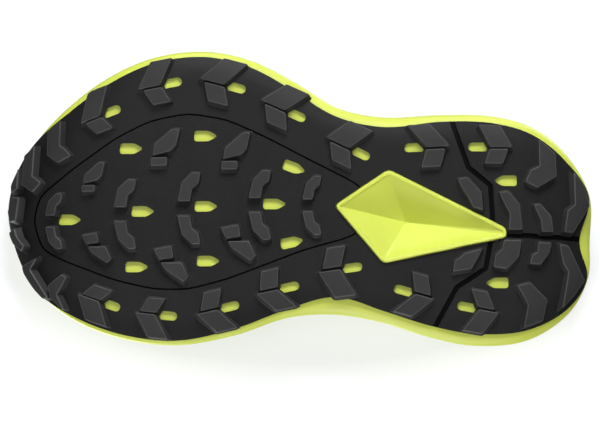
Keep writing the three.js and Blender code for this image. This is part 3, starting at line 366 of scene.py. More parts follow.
class Pattern:
    """Points in millimetres, faces, and a flat layout of each point for weaves."""

    def __init__(self):
        self.points, self.faces, self.flat, self.looks, self.count = [], [], [], [], 0

    def add(self, points, faces, flat=None, looks=None):
        points = np.asarray(points, float).reshape(-1, 3)
        self.looks += looks or [0] * len(faces)
        self.faces += [tuple(int(i) + self.count for i in f) for f in faces]
        self.points.append(points)
        self.flat.append(points[:, :2] if flat is None else np.asarray(flat, float).reshape(-1, 2))
        self.count += len(points)
        return self

    def make(self, name, finish, body, slot, replaces=(), crease=40, more=()):
        """Make the mesh of one piece, and say what it rides on and which nodes it stands for; its slot is not used.
        """
        mesh = bpy.data.meshes.new(name)
        points = (np.concatenate(self.points) + SHIFT) * MM
        mesh.from_pydata(points.tolist(), [], self.faces)
        flat = np.concatenate(self.flat)
        mesh.uv_layers.new(name="flat")
        shape = bmesh.new()
        shape.from_mesh(mesh)
        bmesh.ops.recalc_face_normals(shape, faces=shape.faces)
        shape.to_mesh(mesh)
        shape.free()
        layout = mesh.uv_layers["flat"]
        corners = np.zeros(len(mesh.loops), np.int32)
        mesh.loops.foreach_get("vertex_index", corners)
        layout.data.foreach_set("uv", (flat[corners] * MM).astype(np.float32).ravel())
        mesh.polygons.foreach_set("use_smooth", np.ones(len(mesh.polygons), bool))
        mesh.set_sharp_from_angle(angle=math.radians(crease))
        mesh.polygons.foreach_set("material_index", np.array(self.looks, np.int32))
        piece = bpy.data.objects.new(name, mesh)
        bpy.context.scene.collection.objects.link(piece)
        for look in (finish, *more):
            mesh.materials.append(look)
        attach(piece, body)
        if replaces:
            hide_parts(*replaces)
        return piece


def anticlockwise(points):
    p = np.asarray(points, float)
    q = np.roll(p, -1, 0)
    return p if (p[:, 0] * q[:, 1] - q[:, 0] * p[:, 1]).sum() > 0 else p[::-1]


def grown(points, distance):
    """A closed outline moved outward by a distance, or inward by a negative one."""
    p = anticlockwise(points)
    a, b = p - np.roll(p, 1, 0), np.roll(p, -1, 0) - p
    u = np.stack([a[:, 1], -a[:, 0]], -1) / np.linalg.norm(a, axis=1)[:, None]
    v = np.stack([b[:, 1], -b[:, 0]], -1) / np.linalg.norm(b, axis=1)[:, None]
    scale = distance / np.maximum(0.35, 1 + (u * v).sum(1))
    return p + (u + v) * scale[:, None]


def softened(points, radius, spacing=2.0):
    """An outline with its corners rounded and its long edges divided."""
    p = anticlockwise(points)
    n = len(p)
    out = []
    for i in range(n):
        a, b, c = p[i - 1], p[i], p[(i + 1) % n]
        into, away = b - a, c - b
        cut = min(radius, 0.35 * np.linalg.norm(into), 0.35 * np.linalg.norm(away))
        start = b - into / np.linalg.norm(into) * cut
        end = b + away / np.linalg.norm(away) * cut
        for s in (0, 0.5, 1):
            out.append((1 - s) ** 2 * start + 2 * s * (1 - s) * b + s**2 * end)
        following = p[(i + 2) % n] - c
        reach = min(radius, 0.35 * np.linalg.norm(away), 0.35 * np.linalg.norm(following))
        stop = c - away / np.linalg.norm(away) * reach
        steps = int(np.linalg.norm(stop - end) // spacing)
        out += [end + (stop - end) * k / (steps + 1) for k in range(1, steps + 1)]
    return np.array(out)


def plan_triangles(outlines, keep, spacing):
    """Triangles in plan that follow every outline, for the centres that keep() accepts."""
    points, edges = [], []
    for outline in outlines:
        start = len(points)
        points += [tuple(q) for q in outline]
        edges += [(start + k, start + (k + 1) % len(outline)) for k in range(len(outline))]
    every = np.array(points)
    low, high = every.min(0), every.max(0)
    xs, ys = np.arange(low[0], high[0], spacing), np.arange(low[1], high[1], spacing)
    inner = np.array([(x + (k % 2) * spacing / 2, y) for k, y in enumerate(ys) for x in xs])
    inner = inner[keep(inner)]
    for block in range(0, len(every), 400):
        near = np.linalg.norm(inner[:, None] - every[None, block : block + 400], axis=-1).min(1)
        inner = inner[near > spacing * 0.45]
    points += [tuple(q) for q in inner]
    found = geometry.delaunay_2d_cdt([Vector(q) for q in points], edges, [], 0, 1e-4)
    where = np.array([tuple(q) for q in found[0]])
    faces = np.array([f[:3] for f in found[2]])
    return where, faces[keep(where[faces].mean(1))]


def plate_of(pattern, where, faces, bottom, top):
    """A slab over plan triangles between two height functions, with walls round every edge of it."""
    used, back = np.unique(faces, return_inverse=True)
    where = where[used]
    faces = facing(where, back.reshape(-1, 3), True)
    n = len(where)
    x, y = where.T
    points = np.concatenate([np.column_stack([x, y, bottom(x, y)]), np.column_stack([x, y, top(x, y)])])
    walls = {}
    for f in faces:
        for k in range(3):
            e = (int(f[k]), int(f[(k + 1) % 3]))
            if (e[1], e[0]) in walls:
                del walls[(e[1], e[0])]
            else:
                walls[e] = True
    quads = [(p, q, q + n, p + n) for p, q in walls]
    pattern.add(points, [tuple(f[::-1]) for f in faces] + [tuple(f + n) for f in faces] + quads)


def ring_wall(pattern, levels, steps=ROUND, bottom=True, top=True):
    """A closed wall round the shoe from (distance, height) functions of the place round it."""
    t = places_round(steps)
    rings = []
    for distance, height in levels:
        p = inside_edge(t, distance(t))
        rings.append(np.column_stack([p, height(p[:, 0], p[:, 1])]))
    faces = rows_faces(len(rings), steps, closed_across=True)
    ends = end_faces(len(rings), steps)
    faces += ends[:1] * bottom + ends[1:] * top
    around = run_along(rings[0][:, :2])
    flat = [np.column_stack([around, np.full(steps, 4.0 * k)]) for k in range(len(rings))]
    pattern.add(np.concatenate(rings), faces, np.concatenate(flat))


# ---- Finishes ----
class Value:
    """A shader socket that takes part in sums."""

    def __init__(self, finish, socket):
        self.finish, self.socket = finish, socket

    def _math(self, operation, a, b=None):
        values = {0: a} if b is None else {0: a, 1: b}
        return self.finish.node("ShaderNodeMath", {"operation": operation}, values)["Value"]

    def __add__(self, other):
        return self._math("ADD", self, other)

    def __radd__(self, other):
        return self._math("ADD", other, self)

    def __sub__(self, other):
        return self._math("SUBTRACT", self, other)

    def __rsub__(self, other):
        return self._math("SUBTRACT", other, self)

    def __mul__(self, other):
        return self._math("MULTIPLY", self, other)

    def __rmul__(self, other):
        return self._math("MULTIPLY", other, self)

    def wave(self):
        return self._math("SINE", self)


class Outputs:
    """A node's outputs by name or number, each as a Value."""

    def __init__(self, finish, node):
        self.finish, self.sockets = finish, node.outputs

    def __getitem__(self, name):
        return Value(self.finish, self.sockets[name])


class Finish:
    """A material under construction: node() adds any node, and surface() ends it."""

    def __init__(self, name):
        self.material = bpy.data.materials.new(name)
        self.material.use_nodes = True
        self.tree = self.material.node_tree
        self.tree.nodes.clear()

    def node(self, kind, settings=None, values=None):
        made = self.tree.nodes.new(kind)
        for key, setting in (settings or {}).items():
            if key == "stops":
                ramp = made.color_ramp
                while len(ramp.elements) < len(setting):
                    ramp.elements.new(0.5)
                for stop, (place, grey) in zip(ramp.elements, setting):
                    stop.position = place
                    stop.color = (grey, grey, grey, 1)
            else:
                setattr(made, key, setting)
        for key, value in (values or {}).items():
            socket = made.inputs[key]
            if isinstance(value, Value):
                self.tree.links.new(value.socket, socket)
            else:
                socket.default_value = value
        return Outputs(self, made)

    def place(self):
        return self.node("ShaderNodeTexCoord")["Object"]

    def flat(self):
        """Across and up the cloth, as it lies flat."""
        layout = self.node("ShaderNodeUVMap", {"uv_map": "flat"})["UV"]
        split = self.node("ShaderNodeSeparateXYZ", None, {0: layout})
        return split["X"], split["Y"]

    def noise(self, scale, detail=3):
        values = {"Vector": self.place(), "Scale": scale, "Detail": detail, "Roughness": 0.55}
        return self.node("ShaderNodeTexNoise", None, values)["Fac"]

    def ramp(self, value, *stops):
        return self.node("ShaderNodeValToRGB", {"stops": stops}, {"Fac": value})["Color"]

    def blend(self, low, high, share):
        return self.node("ShaderNodeMix", {"data_type": "RGBA"}, {0: share, 6: low, 7: high})[2]

    def bump(self, height, distance, strength=1.0):
        values = {"Height": height, "Distance": distance, "Strength": strength}
        return self.node("ShaderNodeBump", None, values)["Normal"]

    def surface(self, **values):
        sockets = {key.replace("_", " "): value for key, value in values.items()}
        shader = self.node("ShaderNodeBsdfPrincipled", None, sockets)["BSDF"]
        self.node("ShaderNodeOutputMaterial", None, {"Surface": shader})
        return self.material


def shade(color, times):
    """A colour made lighter or darker."""
    return (*(min(1.0, c * times) for c in color[:3]), 1)


HATCH, KNIT = 4700, 9000  # how close the rubber's hatching and the mesh's fine threads lie
OPENING_PITCH = 0.0021  # from one opening of the mesh to the next


def rubber_finish(name, color, hatch, sheen=0.2):
    """Moulded rubber: fine diagonal hatching where asked, a dusty bloom, and colour lighter along the hatching's
    ridges.
    """
    f = Finish(name)
    x, y = (f.node("ShaderNodeSeparateXYZ", None, {0: f.place()})[k] for k in "XY")
    cloud = f.noise(60, 4)
    grain = f.noise(2600, 2)
    lines = ((x - y) * HATCH).wave() * 0.28 + ((x + y) * HATCH).wave() * 0.22 + 0.5
    height = lines * hatch + grain * 0.35 + cloud * 0.2
    bloom = f.ramp(f.noise(22, 5), (0.35, 0), (0.75, 1))
    share = cloud * (0.5 - 0.3 * hatch) + bloom * 0.3 + lines * (0.6 * hatch) + grain * 0.1
    return f.surface(
        Base_Color=f.blend(shade(color, 0.7), shade(color, 1.6), share),
        Roughness=0.48 + cloud * 0.14 + lines * (0.08 * hatch) + bloom * 0.06,
        Specular_IOR_Level=sheen,
        Normal=f.bump(height, 0.00022, 0.7),
    )


def foam_finish(name, color):
    """Moulded foam with a satin skin, faint mottling and fine wrinkles."""
    f = Finish(name)
    mottle = f.noise(35, 5)
    pores = f.noise(1500, 3)
    skin = f.noise(300, 4)
    tint = f.blend(shade(color, 0.86), shade(color, 1.1), mottle)
    return f.surface(
        Base_Color=tint,
        Roughness=0.44 + mottle * 0.12 + pores * 0.06,
        Normal=f.bump(pores * 0.5 + skin * 0.8, 0.00016, 0.5),
    )


def knit_finish(name, thread, hole):
    """An engineered mesh: staggered round openings in a fine knit."""
    f = Finish(name)
    u, v = f.flat()
    cells = (u * (math.tau / OPENING_PITCH)).wave() * (v * (math.tau / OPENING_PITCH)).wave()
    fine = ((u + v) * KNIT).wave() * ((u - v) * KNIT).wave()
    opening = f.ramp(cells, (0.28, 0), (0.62, 1))
    fuzz = f.noise(900, 3)
    cloud = f.noise(30, 3)
    tint = f.blend(shade(thread, 0.9), shade(thread, 1.12), fuzz * 0.6 + cloud * 0.4)
    return f.surface(
        Base_Color=f.blend(tint, hole, opening * 0.85),
        Roughness=0.82 + fuzz * 0.12,
        Normal=f.bump(fine * 0.12 + fuzz * 0.25 - opening * 0.9, 0.0004, 0.8),
    )


def woven_finish(name, color, pitch, contrast=0.35):
    """A plain weave of flat threads."""
    f = Finish(name)
    u, v = f.flat()
    warp, weft = (u * (math.tau / pitch)).wave(), (v * (math.tau / pitch)).wave()
    weave = warp * weft * 0.5 + 0.5
    fuzz = f.noise(1400, 3)
    cloud = f.noise(40, 3)
    share = weave * 0.6 + fuzz * 0.25 + cloud * 0.15
    return f.surface(
        Base_Color=f.blend(shade(color, 1 - contrast), shade(color, 1 + contrast), share),
        Roughness=0.78 + fuzz * 0.15,
        Normal=f.bump(weave * 0.7 + fuzz * 0.3, 0.00025, 0.8),
    )


def film_finish(name, color):
    """Welded film with a pebbled grain and softer, rubbed patches."""
    f = Finish(name)
    pebble = f.noise(1100, 2)
    cloud = f.noise(45, 4)
    tint = f.blend(shade(color, 0.8), shade(color, 1.7), cloud * 0.7 + pebble * 0.3)
    return f.surface(
        Base_Color=tint,
        Roughness=0.4 + cloud * 0.15 + pebble * 0.1,
        Normal=f.bump(pebble, 0.00015, 0.6),
    )


def foam_pad_finish(name, color):
    """Open foam with small cells."""
    f = Finish(name)
    cells = f.noise(1200, 3)
    tint = f.blend(shade(color, 0.8), shade(color, 1.1), cells)
    return f.surface(Base_Color=tint, Roughness=0.9 + cells * 0.05, Normal=f.bump(cells, 0.0003, 0.7))


def colour(name, description, default):
    return FloatVectorProperty(
        name=name, description=description, default=default, subtype="COLOR", min=0, max=1)


def length(name, description, default, low, high):
    return FloatProperty(name=name, description=description, default=default, min=low, max=high, unit="LENGTH")


class ShoeColours(bpy.types.PropertyGroup):
    """Colours of the shoe's finishes."""

    rubber: colour("Rubber", "Outsole rubber", (0.0046, 0.0046, 0.0046))
    foam: colour("Foam", "Midsole foam", (0.52, 0.59, 0.07))
    mesh: colour("Mesh", "Upper mesh", (0.46, 0.56, 0.06))
    dark: colour("Dark trim", "Films, webbing and lace", (0.022, 0.024, 0.027))
    lining: colour("Lining", "Collar lining and insole", (0.03, 0.033, 0.038))
    padding: colour("Padding", "Inner foam and boards", (0.72, 0.74, 0.66))


class TreadSizes(bpy.types.PropertyGroup):
    """Sizes of the outsole's tread."""

    lug_height: length("Lug height", "How far the lugs stand below the rubber's base", LUG * MM, 0.001, 0.008)
    lug_corner: length("Lug corner", "Radius of the lugs' corners in plan", 0.0006, 0.0001, 0.002)
    window_corner: length("Window corner", "Radius of the windows' corners", 0.0012, 0.0002, 0.003)
    recess_depth: length(
        "Recess depth", "Depth of the arch recess above the ground", RECESS_DEEPEST[2] * MM, 0.004, 0.02)


class UpperSizes(bpy.types.PropertyGroup):
    """Sizes of the upper's layers."""

    shell: length("Mesh thickness", "Thickness of the upper's mesh", SHELL * MM, 0.0005, 0.003)
    film: length("Film thickness", "Thickness of the welded films", FILM * MM, 0.0003, 0.002)
    stitch: length("Stitch length", "Length of one stitch", 0.0022, 0.001, 0.005)
    lace_radius: length("Lace radius", "Half the lace's thickness", LACE_RADIUS * MM, 0.0008, 0.002)


FINISHES = {}


def finish(name):
    """The finish of that name, made the first time it is asked for."""
    if name not in FINISHES:
        colours = bpy.context.scene.shoe_colours
        rubber, foam, mesh, dark, lining, padding = (
            (*getattr(colours, key), 1) for key in ("rubber", "foam", "mesh", "dark", "lining", "padding"))
        makers = {
            "smooth_rubber": (rubber_finish, rubber, 0.0),
            "hatched_rubber": (rubber_finish, rubber, 1.0),
            # Groove floors: a copy of the rubber four times darker, painted shade in the grooves.
            "channel_rubber": (rubber_finish, shade(rubber, 0.25), 0.0, 0.05),
            # Lug chamfer rings: a copy of the rubber eleven times lighter, a painted highlight along the lugs'
            # edges.
            "worn_rubber": (rubber_finish, shade(rubber, 11), 0.0, 0.25),
            # Lugs: a copy of the rubber five times lighter, partly scuffing and partly painted light on the raised
            # lugs against the shaded plate between them.
            "lug_rubber": (rubber_finish, shade(rubber, 5), 0.0, 0.15),
            "lime_foam": (foam_finish, foam),
            "upper_mesh": (knit_finish, mesh, shade(mesh, 0.28)),
            "lining_knit": (woven_finish, lining, 0.0015),
            "webbing": (woven_finish, dark, 0.0012, 0.5),
            "braid": (woven_finish, dark, 0.0016, 0.6),
            "film": (film_finish, dark),
            "lock_plastic": (film_finish, dark),
            "thread": (woven_finish, shade(mesh, 0.9), 0.0005),
            "pad_foam": (foam_pad_finish, padding),
            "board": (woven_finish, shade(padding, 0.8), 0.0016, 0.2),
        }
        maker, *values = makers[name]
        FINISHES[name] = maker(name, *values)
    return FINISHES[name]


def dress(node, look):
    """Give a node of the frame that stays in sight its finish."""
    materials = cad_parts[node].data.materials
    materials.clear()
    materials.append(finish(look))


# ---- Outsole ----
def plus(a, b, share=1.0):
    """A place moved by a share of a step."""
    return (a[0] + b[0] * share, a[1] + b[1] * share)


def chevron_arms(apex, slit, outer, inner):
    """The two arms of a lug on the sole's edge."""
    back = plus(apex, slit)
    front = plus(apex, slit, ARM_SHIFT)
    return [
        [apex, back, plus(back, outer), plus(apex, outer)],
        [plus(front, inner, ARM_GAP), plus(back, inner, ARM_GAP), plus(back, inner), plus(front, inner)],
    ]


def set_at(outline, place, mirror=1):
    """An outline moved to its place, scaled, and mirrored across the shoe for a mirror of -1."""
    x, y, size = place
    return [(x + px * size, y + py * size * mirror) for px, py in outline]


def lug_outlines():
    """Every lug's outline; the toe's hooks reach out over the rubber's wrap."""
    hooks = [[(x + HOOK_REACH * float(smooth(116, 134, x)), y) for x, y in hook] for hook in HOOKS]
    arms = [arm for chevron in CHEVRONS for arm in chevron_arms(*chevron)]
    wings = [set_at(WING, pair, mirror) for pair in WING_PAIRS for mirror in (1, -1)]
    outer = [set_at(block, place) for place in OUTER_SPLITS for block in OUTER_BLOCKS]
    inner = [set_at(block, place) for place in INNER_SPLITS for block in INNER_BLOCKS]
    return arms + wings + outer + inner + hooks


def turned_to(shape, place, turn):
    c, s = math.cos(turn), math.sin(turn)
    return [(place[0] + x * c - y * s, place[1] + x * s + y * c) for x, y in shape]


def slot_outline(apex, slit):
    """A window with one square end at the lug and one round end."""
    start, r = math.hypot(*slit) * 1.06, SLOT_WIDTH / 2
    bend = start + SLOT_LENGTH - r
    shape = [(start, -r), (bend, -r)]
    shape += [(bend + r * math.sin(a), -r * math.cos(a)) for a in np.linspace(0.5, 2.64, 5)]
    shape += [(bend, r), (start, r)]
    return turned_to(shape, apex, math.atan2(slit[1], slit[0]))


def pointed_outline(x, y, turn):
    """A window with one square end and one pointed end."""
    half, shoulder, end = POINTED_WIDTH / 2, POINTED_LENGTH * 0.16, POINTED_LENGTH / 2
    edge = [(-end, -half), (shoulder, -half), (end, -half * 0.2)]
    shape = edge + [(x, -y) for x, y in edge[::-1]]
    return turned_to(shape, (x, y), math.radians(turn))


def band_inside(line, width, points):
    """Which points lie within half a width of an open line."""
    near = np.full(len(points), np.inf)
    for a, b in zip(np.array(line, float)[:-1], np.array(line, float)[1:]):
        share = np.clip(((points - a) @ (b - a)) / ((b - a) @ (b - a)), 0, 1)
        near = np.minimum(near, np.linalg.norm(points - a - share[:, None] * (b - a), axis=1))
    return near < width / 2


def tread_normal(x, y):
    """The way out of the rubber, toward the ground."""
    h = 0.4
    dx = (tread_at(x + h, y) - tread_at(x - h, y)) / (2 * h)
    dy = (tread_at(x, y + h) - tread_at(x, y - h)) / (2 * h)
    return unit(np.stack([dx, dy, -np.ones_like(dx)], -1))


def add_lug(pattern, outline, height, corner):
    """One lug: a flared foot, slightly drafted walls, a chamfered edge and a top that follows the tread."""
    shape = softened(outline, corner, 1.6)
    inside = distance_inside(*shape.T)
    margin = LUG_MARGIN - LUG_MARGIN_AT_TOE * smooth(100, 122, shape[:, 0])
    for _ in range(3):
        toward = shape.mean(0) - shape
        short = np.maximum(0, margin - inside)
        shape = shape + unit(toward) * short[:, None]
        inside = distance_inside(*shape.T)
    foot = shape - tread_normal(*shape.T)[:, :2] * height
    up = tread_normal(*foot.T)
    rings = []
    for spread, share in LUG_PROFILE:
        p = grown(foot, spread) - [0, LUG_SLANT * max(0, 1 - share)]
        rings.append(np.column_stack([p, tread_at(*foot.T)]) + up * height * share)
    n = len(shape)
    faces = [f[::-1] for f in rows_faces(len(rings), n, closed_across=True)]
    faces.append(tuple(range(n)))
    rim = grown(foot, LUG_PROFILE[-1][0])
    where, triangles = plan_triangles([rim], lambda p: contains(rim, p), 2.2)
    crown = np.column_stack([where, tread_at(*where.T)]) + tread_normal(*where.T) * height
    gaps = np.linalg.norm(where[:, None] - rim[None], axis=-1)
    on_rim = gaps.min(1) < 1e-3
    index = np.where(on_rim, (len(rings) - 1) * n + gaps.argmin(1), len(rings) * n + np.cumsum(~on_rim) - 1)
    faces += [tuple(f) for f in index[triangles]]
    looks = [0] * len(faces)
    # The chamfer ring takes the second finish, a lighter rubber: a painted highlight along the lug's edge.
    looks[(len(rings) - 2) * n : (len(rings) - 1) * n] = [1] * n
    pattern.add(np.concatenate([*rings, crown[~on_rim]]), faces, looks=looks)


def outsole_regions():
    """Each outsole piece's test of which points belong to it."""
    pod_in, pod_out = (softened(grown(POD_EDGE, s * POD_SEAM / 2), 5) for s in (-1, 1))
    behind = [*HEEL_GROOVE, (-150, -72), (-150, 45)]
    outer_half = [*SPLIT_GROOVE, (-144, 60), (-60, 60)]

    def grooved(p):
        return band_inside(HEEL_GROOVE, GROOVE, p)

    def front(p):
        return ~contains(pod_out, p) & ~contains(behind, p) & ~grooved(p)

    def pod(p):
        return contains(pod_in, p)

    def heel(p):
        return contains(behind, p) & ~grooved(p) & ~band_inside(SPLIT_GROOVE, GROOVE, p)

    return {
        "outsole_front": (front, "smooth_rubber"),
        "outsole_pod": (pod, "hatched_rubber"),
        "outsole_heel_outer": (lambda p: heel(p) & contains(outer_half, p), "hatched_rubber"),
        "outsole_heel_inner": (lambda p: heel(p) & ~contains(outer_half, p), "hatched_rubber"),
    }


def offset_line(line, distance):
    """An open line moved sideways."""
    p = np.array(line, float)
    along = np.gradient(p, axis=0)
    return p + unit(np.stack([-along[:, 1], along[:, 0]], -1)) * distance


def divided(line, spacing, closed=False):
    """A line with extra points, so that none are much further apart than the spacing."""
    p = np.array(line, float)
    ends = np.roll(p, -1, 0) if closed else p[1:]
    out = []
    for a, b in zip(p, ends):
        steps = max(1, int(np.linalg.norm(b - a) / spacing))
        out += [a + (b - a) * k / steps for k in range(steps)]
    return np.array(out if closed else out + [p[-1]])


class SHOE_OT_outsole(bpy.types.Operator):
    """Build the four rubber pieces with their lugs and windows"""

    bl_idname = "shoe.outsole"
    bl_label = "Outsole"

    def execute(self, context):
        sizes = context.scene.tread_sizes
        corner, height = sizes.lug_corner / MM, sizes.lug_height / MM
        t = places_round(420)
        rim = inside_edge(t, rim_margin_at(t))
        recess = divided(softened(grown(RECESS, GAP), 2.0), 2.5, closed=True)
        outlines = [slot_outline(apex, slit) for apex, slit, *_ in CHEVRONS]
        outlines += [pointed_outline(*window) for window in POINTED]
        windows = [softened(outline, sizes.window_corner / MM, 1.5) for outline in outlines]
        lines = [divided(softened(grown(POD_EDGE, s * POD_SEAM / 2), 5), 2.5, closed=True) for s in (-1, 1)]
        heel, split = (
            np.concatenate([offset_line(divided(groove, 2.5), s * GROOVE / 2)[::s] for s in (1, -1)])
            for groove in (HEEL_GROOVE, SPLIT_GROOVE))
        shapes = lug_outlines()
        for name, (belongs, look) in outsole_regions().items():

            def keep(p):
                ok = contains(rim, p) & ~contains(recess, p) & belongs(p)
                for window in windows:
                    ok &= ~contains(window, p)
                return ok

            where, faces = plan_triangles([rim, recess, *windows, *lines, heel, split], keep, 2.6)
            pattern = Pattern()
            plate_of(pattern, where, faces, tread_at, rubber_top_at)
            # The lugs take a lighter copy of the rubber: partly scuffing, partly painted light on the raised lugs.
            lugs = Pattern()
            for outline in shapes:
                if belongs(np.array([np.mean(outline, 0)]))[0]:
                    add_lug(lugs, outline, height, corner)
            pattern.make(name + "_rubber", finish(look), "shoe", "black_rubber", [name], crease=32)
            # The lugs' second finish paints a highlight on their chamfered edges.
            lugs.make(name + "_lugs", finish("lug_rubber"), "shoe", "black_rubber", crease=24,
                      more=[finish("worn_rubber")])
        self.channels(rim, recess, lines, heel, split)
        return {"FINISHED"}

    def channels(self, rim, recess, pod_lines, *grooves):
        """The thin rubber floors of the seam round the pod and of the grooves at the heel, in a much darker copy of
        the rubber: painted shade in the grooves.
        """
        pattern = Pattern()

        def floor(outlines, keep):
            def allowed(p):
                return keep(p) & contains(rim, p) & ~contains(recess, p)

            where, faces = plan_triangles([rim, recess, *outlines], allowed, 2.6)
            plate_of(pattern, where, faces, lambda x, y: tread_at(x, y) + CHANNEL, rubber_top_at)

        inner, outer = pod_lines
        floor(pod_lines, lambda p: contains(outer, p) & ~contains(inner, p))
        floor(grooves, lambda p: contains(grooves[0], p) | contains(grooves[1], p))
        pattern.make("outsole_channels", finish("channel_rubber"), "shoe", "black_rubber", crease=32)


# ---- Midsole ----
class SHOE_OT_midsole(bpy.types.Operator):
    """Build the two foam pieces, the faceted arch recess and the raised rim round the upper"""

    bl_idname = "shoe.midsole"
    bl_label = "Midsole"

    def execute(self, context):
        self.carrier(context.scene.tread_sizes.recess_depth / MM)
        self.cradle()
        dress("rock_plate", "film")
        return {"FINISHED"}

    def carrier(self, depth):
        """The lower foam, from its flat underside to the parting line, with the recess."""
        lower = Pattern()
        t = places_round(ROUND)
        shelf = inside_edge(t, margin_at(t) * 0.6 + 0.5)
        hole = divided(softened(RECESS, 2.2), 2.0, closed=True)
        where, faces = plan_triangles([shelf, hole], lambda p: contains(shelf, p) & ~contains(hole, p), 4.0)
        lower.add(np.column_stack([where, foam_bottom_at(*where.T)]), facing(where, faces, False))

        def level(share_of_margin, more, share):
            """A place on the wall: how far inside the outline, and how high between underside and parting."""
            return (
                lambda t: margin_at(t) * share_of_margin + more,
                lambda x, y: foam_bottom_at(x, y) * (1 - share) + parting_at(x, y) * share,
            )

        wall = ((0.6, 0.5, 0), (0.36, 0, 0.02), (0.12, 0, 0.12), (0, 0, 0.32), (0, 0, 0.6), (0, 0.35, 0.86),
                (0, 0.8, 0.97), (0, 1.6, 1))
        ring_wall(lower, [level(*place) for place in wall], bottom=False)
        self.recess(lower, hole, depth)
        lower.make("midsole_carrier", finish("lime_foam"), "shoe", "lime_foam", ["midsole_lower"], crease=30)

    def cradle(self):
        """The upper foam, from the parting line to the rim round the upper, with two fine grooves."""
        upper = Pattern()

        def above(share, extra=0.0):
            return lambda x, y: parting_at(x, y) * (1 - share) + (footbed_at(x) + RIM) * share + extra

        def slope(share, extra=0.0):
            def distance(t):
                full = inset_at(t) - RIM_WIDTH
                groove = 0.9 * smooth(0.02, 0.06, share) * (1 - smooth(0.1, 0.16, share))
                return 0.8 + (full - 0.8) * share**0.75 + extra + groove
            return distance

        carve = 1.3
        shares = (0.0, 0.05, 0.1, 0.14, 0.2, 0.3, 0.42, 0.55, 0.68, 0.8)
        levels = [(lambda t: inset_at(t) * 0 + 2.2, above(0, GAP))]
        levels += [(slope(s), above(s, GAP * (1 - s))) for s in shares]
        levels += [
            (slope(0.86), above(0.86)), (slope(0.875, carve), above(0.88)), (slope(0.9, carve), above(0.905)),
            (slope(0.915), above(0.925)), (slope(0.96), above(0.965)), (slope(0.995, 0.3), above(0.992)),
            (lambda t: inset_at(t) - RIM_WIDTH + 1, above(1)),
            (lambda t: inset_at(t) - 3.2, above(1)),
            (lambda t: inset_at(t) - 2.5, above(0.98)),
            (lambda t: inset_at(t) - 2.0, above(0.85)),
            (lambda t: inset_at(t) - 1.0, lambda x, y: footbed_at(x)),
        ]
        ring_wall(upper, levels)
        upper.make("midsole_cradle", finish("lime_foam"), "shoe", "lime_foam", ["midsole_upper"], crease=35)

    def recess(self, pattern, hole, depth):
        """The recess: a rounded lip standing proud of the rubber, and four flat faces that meet at one point."""
        n = len(hole)
        lip = LUG - RECESS_LIP
        deepest = np.array(RECESS_DEEPEST[:2])
        section = ((0, LUG + RUBBER + 1), (0, lip + 0.7), (0.18, lip + 0.25), (0.5, lip), (1.35, lip),
                   (1.8, lip + 0.22), (2.05, lip + 0.8))
        rings = [np.column_stack([grown(hole, -inward), np.full(n, z)]) for inward, z in section]
        mouth = rings[-1]
        for share in (0.25, 0.5, 0.75, 0.97):
            p = mouth.copy()
            p[:, :2] += (deepest - p[:, :2]) * share
            p[:, 2] += (depth - p[:, 2]) * share
            rings.append(p)
        faces = [f[::-1] for f in rows_faces(len(rings), n, closed_across=True)]
        faces.append(tuple((len(rings) - 1) * n + k for k in range(n))[::-1])
        pattern.add(np.concatenate(rings), faces)


# ---- Upper ----
COLUMNS, LEVELS = 16 * len(STATIONS), 60


def upper_surface(u, v):
    """The upper's outside: u runs round the shoe, v from its bottom edge to the collar and throat."""
    u, v = np.broadcast_arrays(np.asarray(u, float), np.asarray(v, float))
    base = inside_edge(u, inset_at(u))
    base = np.concatenate([base, (footbed_at(base[..., 0]) + 3 * GAP)[..., None]], -1)
    top = opening_at(u)
    out = outward_at(u)
    out = np.concatenate([out, np.zeros_like(out[..., :1])], -1)
    up = np.array([0.0, 0.0, 1.0])
    toe = smooth(20, 112, base[..., 0])
    heel = smooth(20, 100, -base[..., 0])

    def mixed(side, front, back):
        return ((side + (front - side) * toe) * (1 - heel) + back * heel)[..., None]

    low = base + up * mixed(27, 24, 30) + out * mixed(2.5, 2, 5)
    high = top - up * mixed(14, 6, 26) + out * mixed(11, 26, 1)
    w = v[..., None]
    return (1 - w) ** 3 * base + 3 * w * (1 - w) ** 2 * low + 3 * w**2 * (1 - w) * high + w**3 * top


def upper_grid():
    """The upper's points, its normals, and how far up and round the cloth each place lies."""
    points = upper_surface(places_round(COLUMNS)[:, None], (np.arange(LEVELS + 1) / LEVELS)[None, :])
    along = np.roll(points, -1, 0) - np.roll(points, 1, 0)
    steps_up = np.linalg.norm(np.diff(points, axis=1), axis=-1)
    rise = np.concatenate([np.zeros((COLUMNS, 1)), np.cumsum(steps_up, 1)], 1)
    around = np.concatenate([[0], np.cumsum(np.linalg.norm(along[:, 0] / 2, axis=-1))])
    return points, unit(np.cross(along, np.gradient(points, axis=1))), rise, around


UPPER, UPPER_NORMAL, UPPER_RISE, UPPER_ROUND = upper_grid()


def on_upper(u, v, out=0.0):
    """Points at a distance outside the upper's mesh, round it by u and up it by v."""
    u, v, out = np.broadcast_arrays(np.asarray(u, float), np.asarray(v, float), np.asarray(out, float))
    column, level = (u % 1) * COLUMNS, np.clip(v * LEVELS, 0, LEVELS - 1e-6)
    i, j = np.floor(column).astype(int), np.floor(level).astype(int)
    f, g = (column - i)[..., None], (level - j)[..., None]
    i0, i1 = i % COLUMNS, (i + 1) % COLUMNS

    def blended(grid):
        low = grid[i0, j] * (1 - f) + grid[i1, j] * f
        return low * (1 - g) + (grid[i0, j + 1] * (1 - f) + grid[i1, j + 1] * f) * g

    return blended(UPPER) + blended(UPPER_NORMAL) * out[..., None]


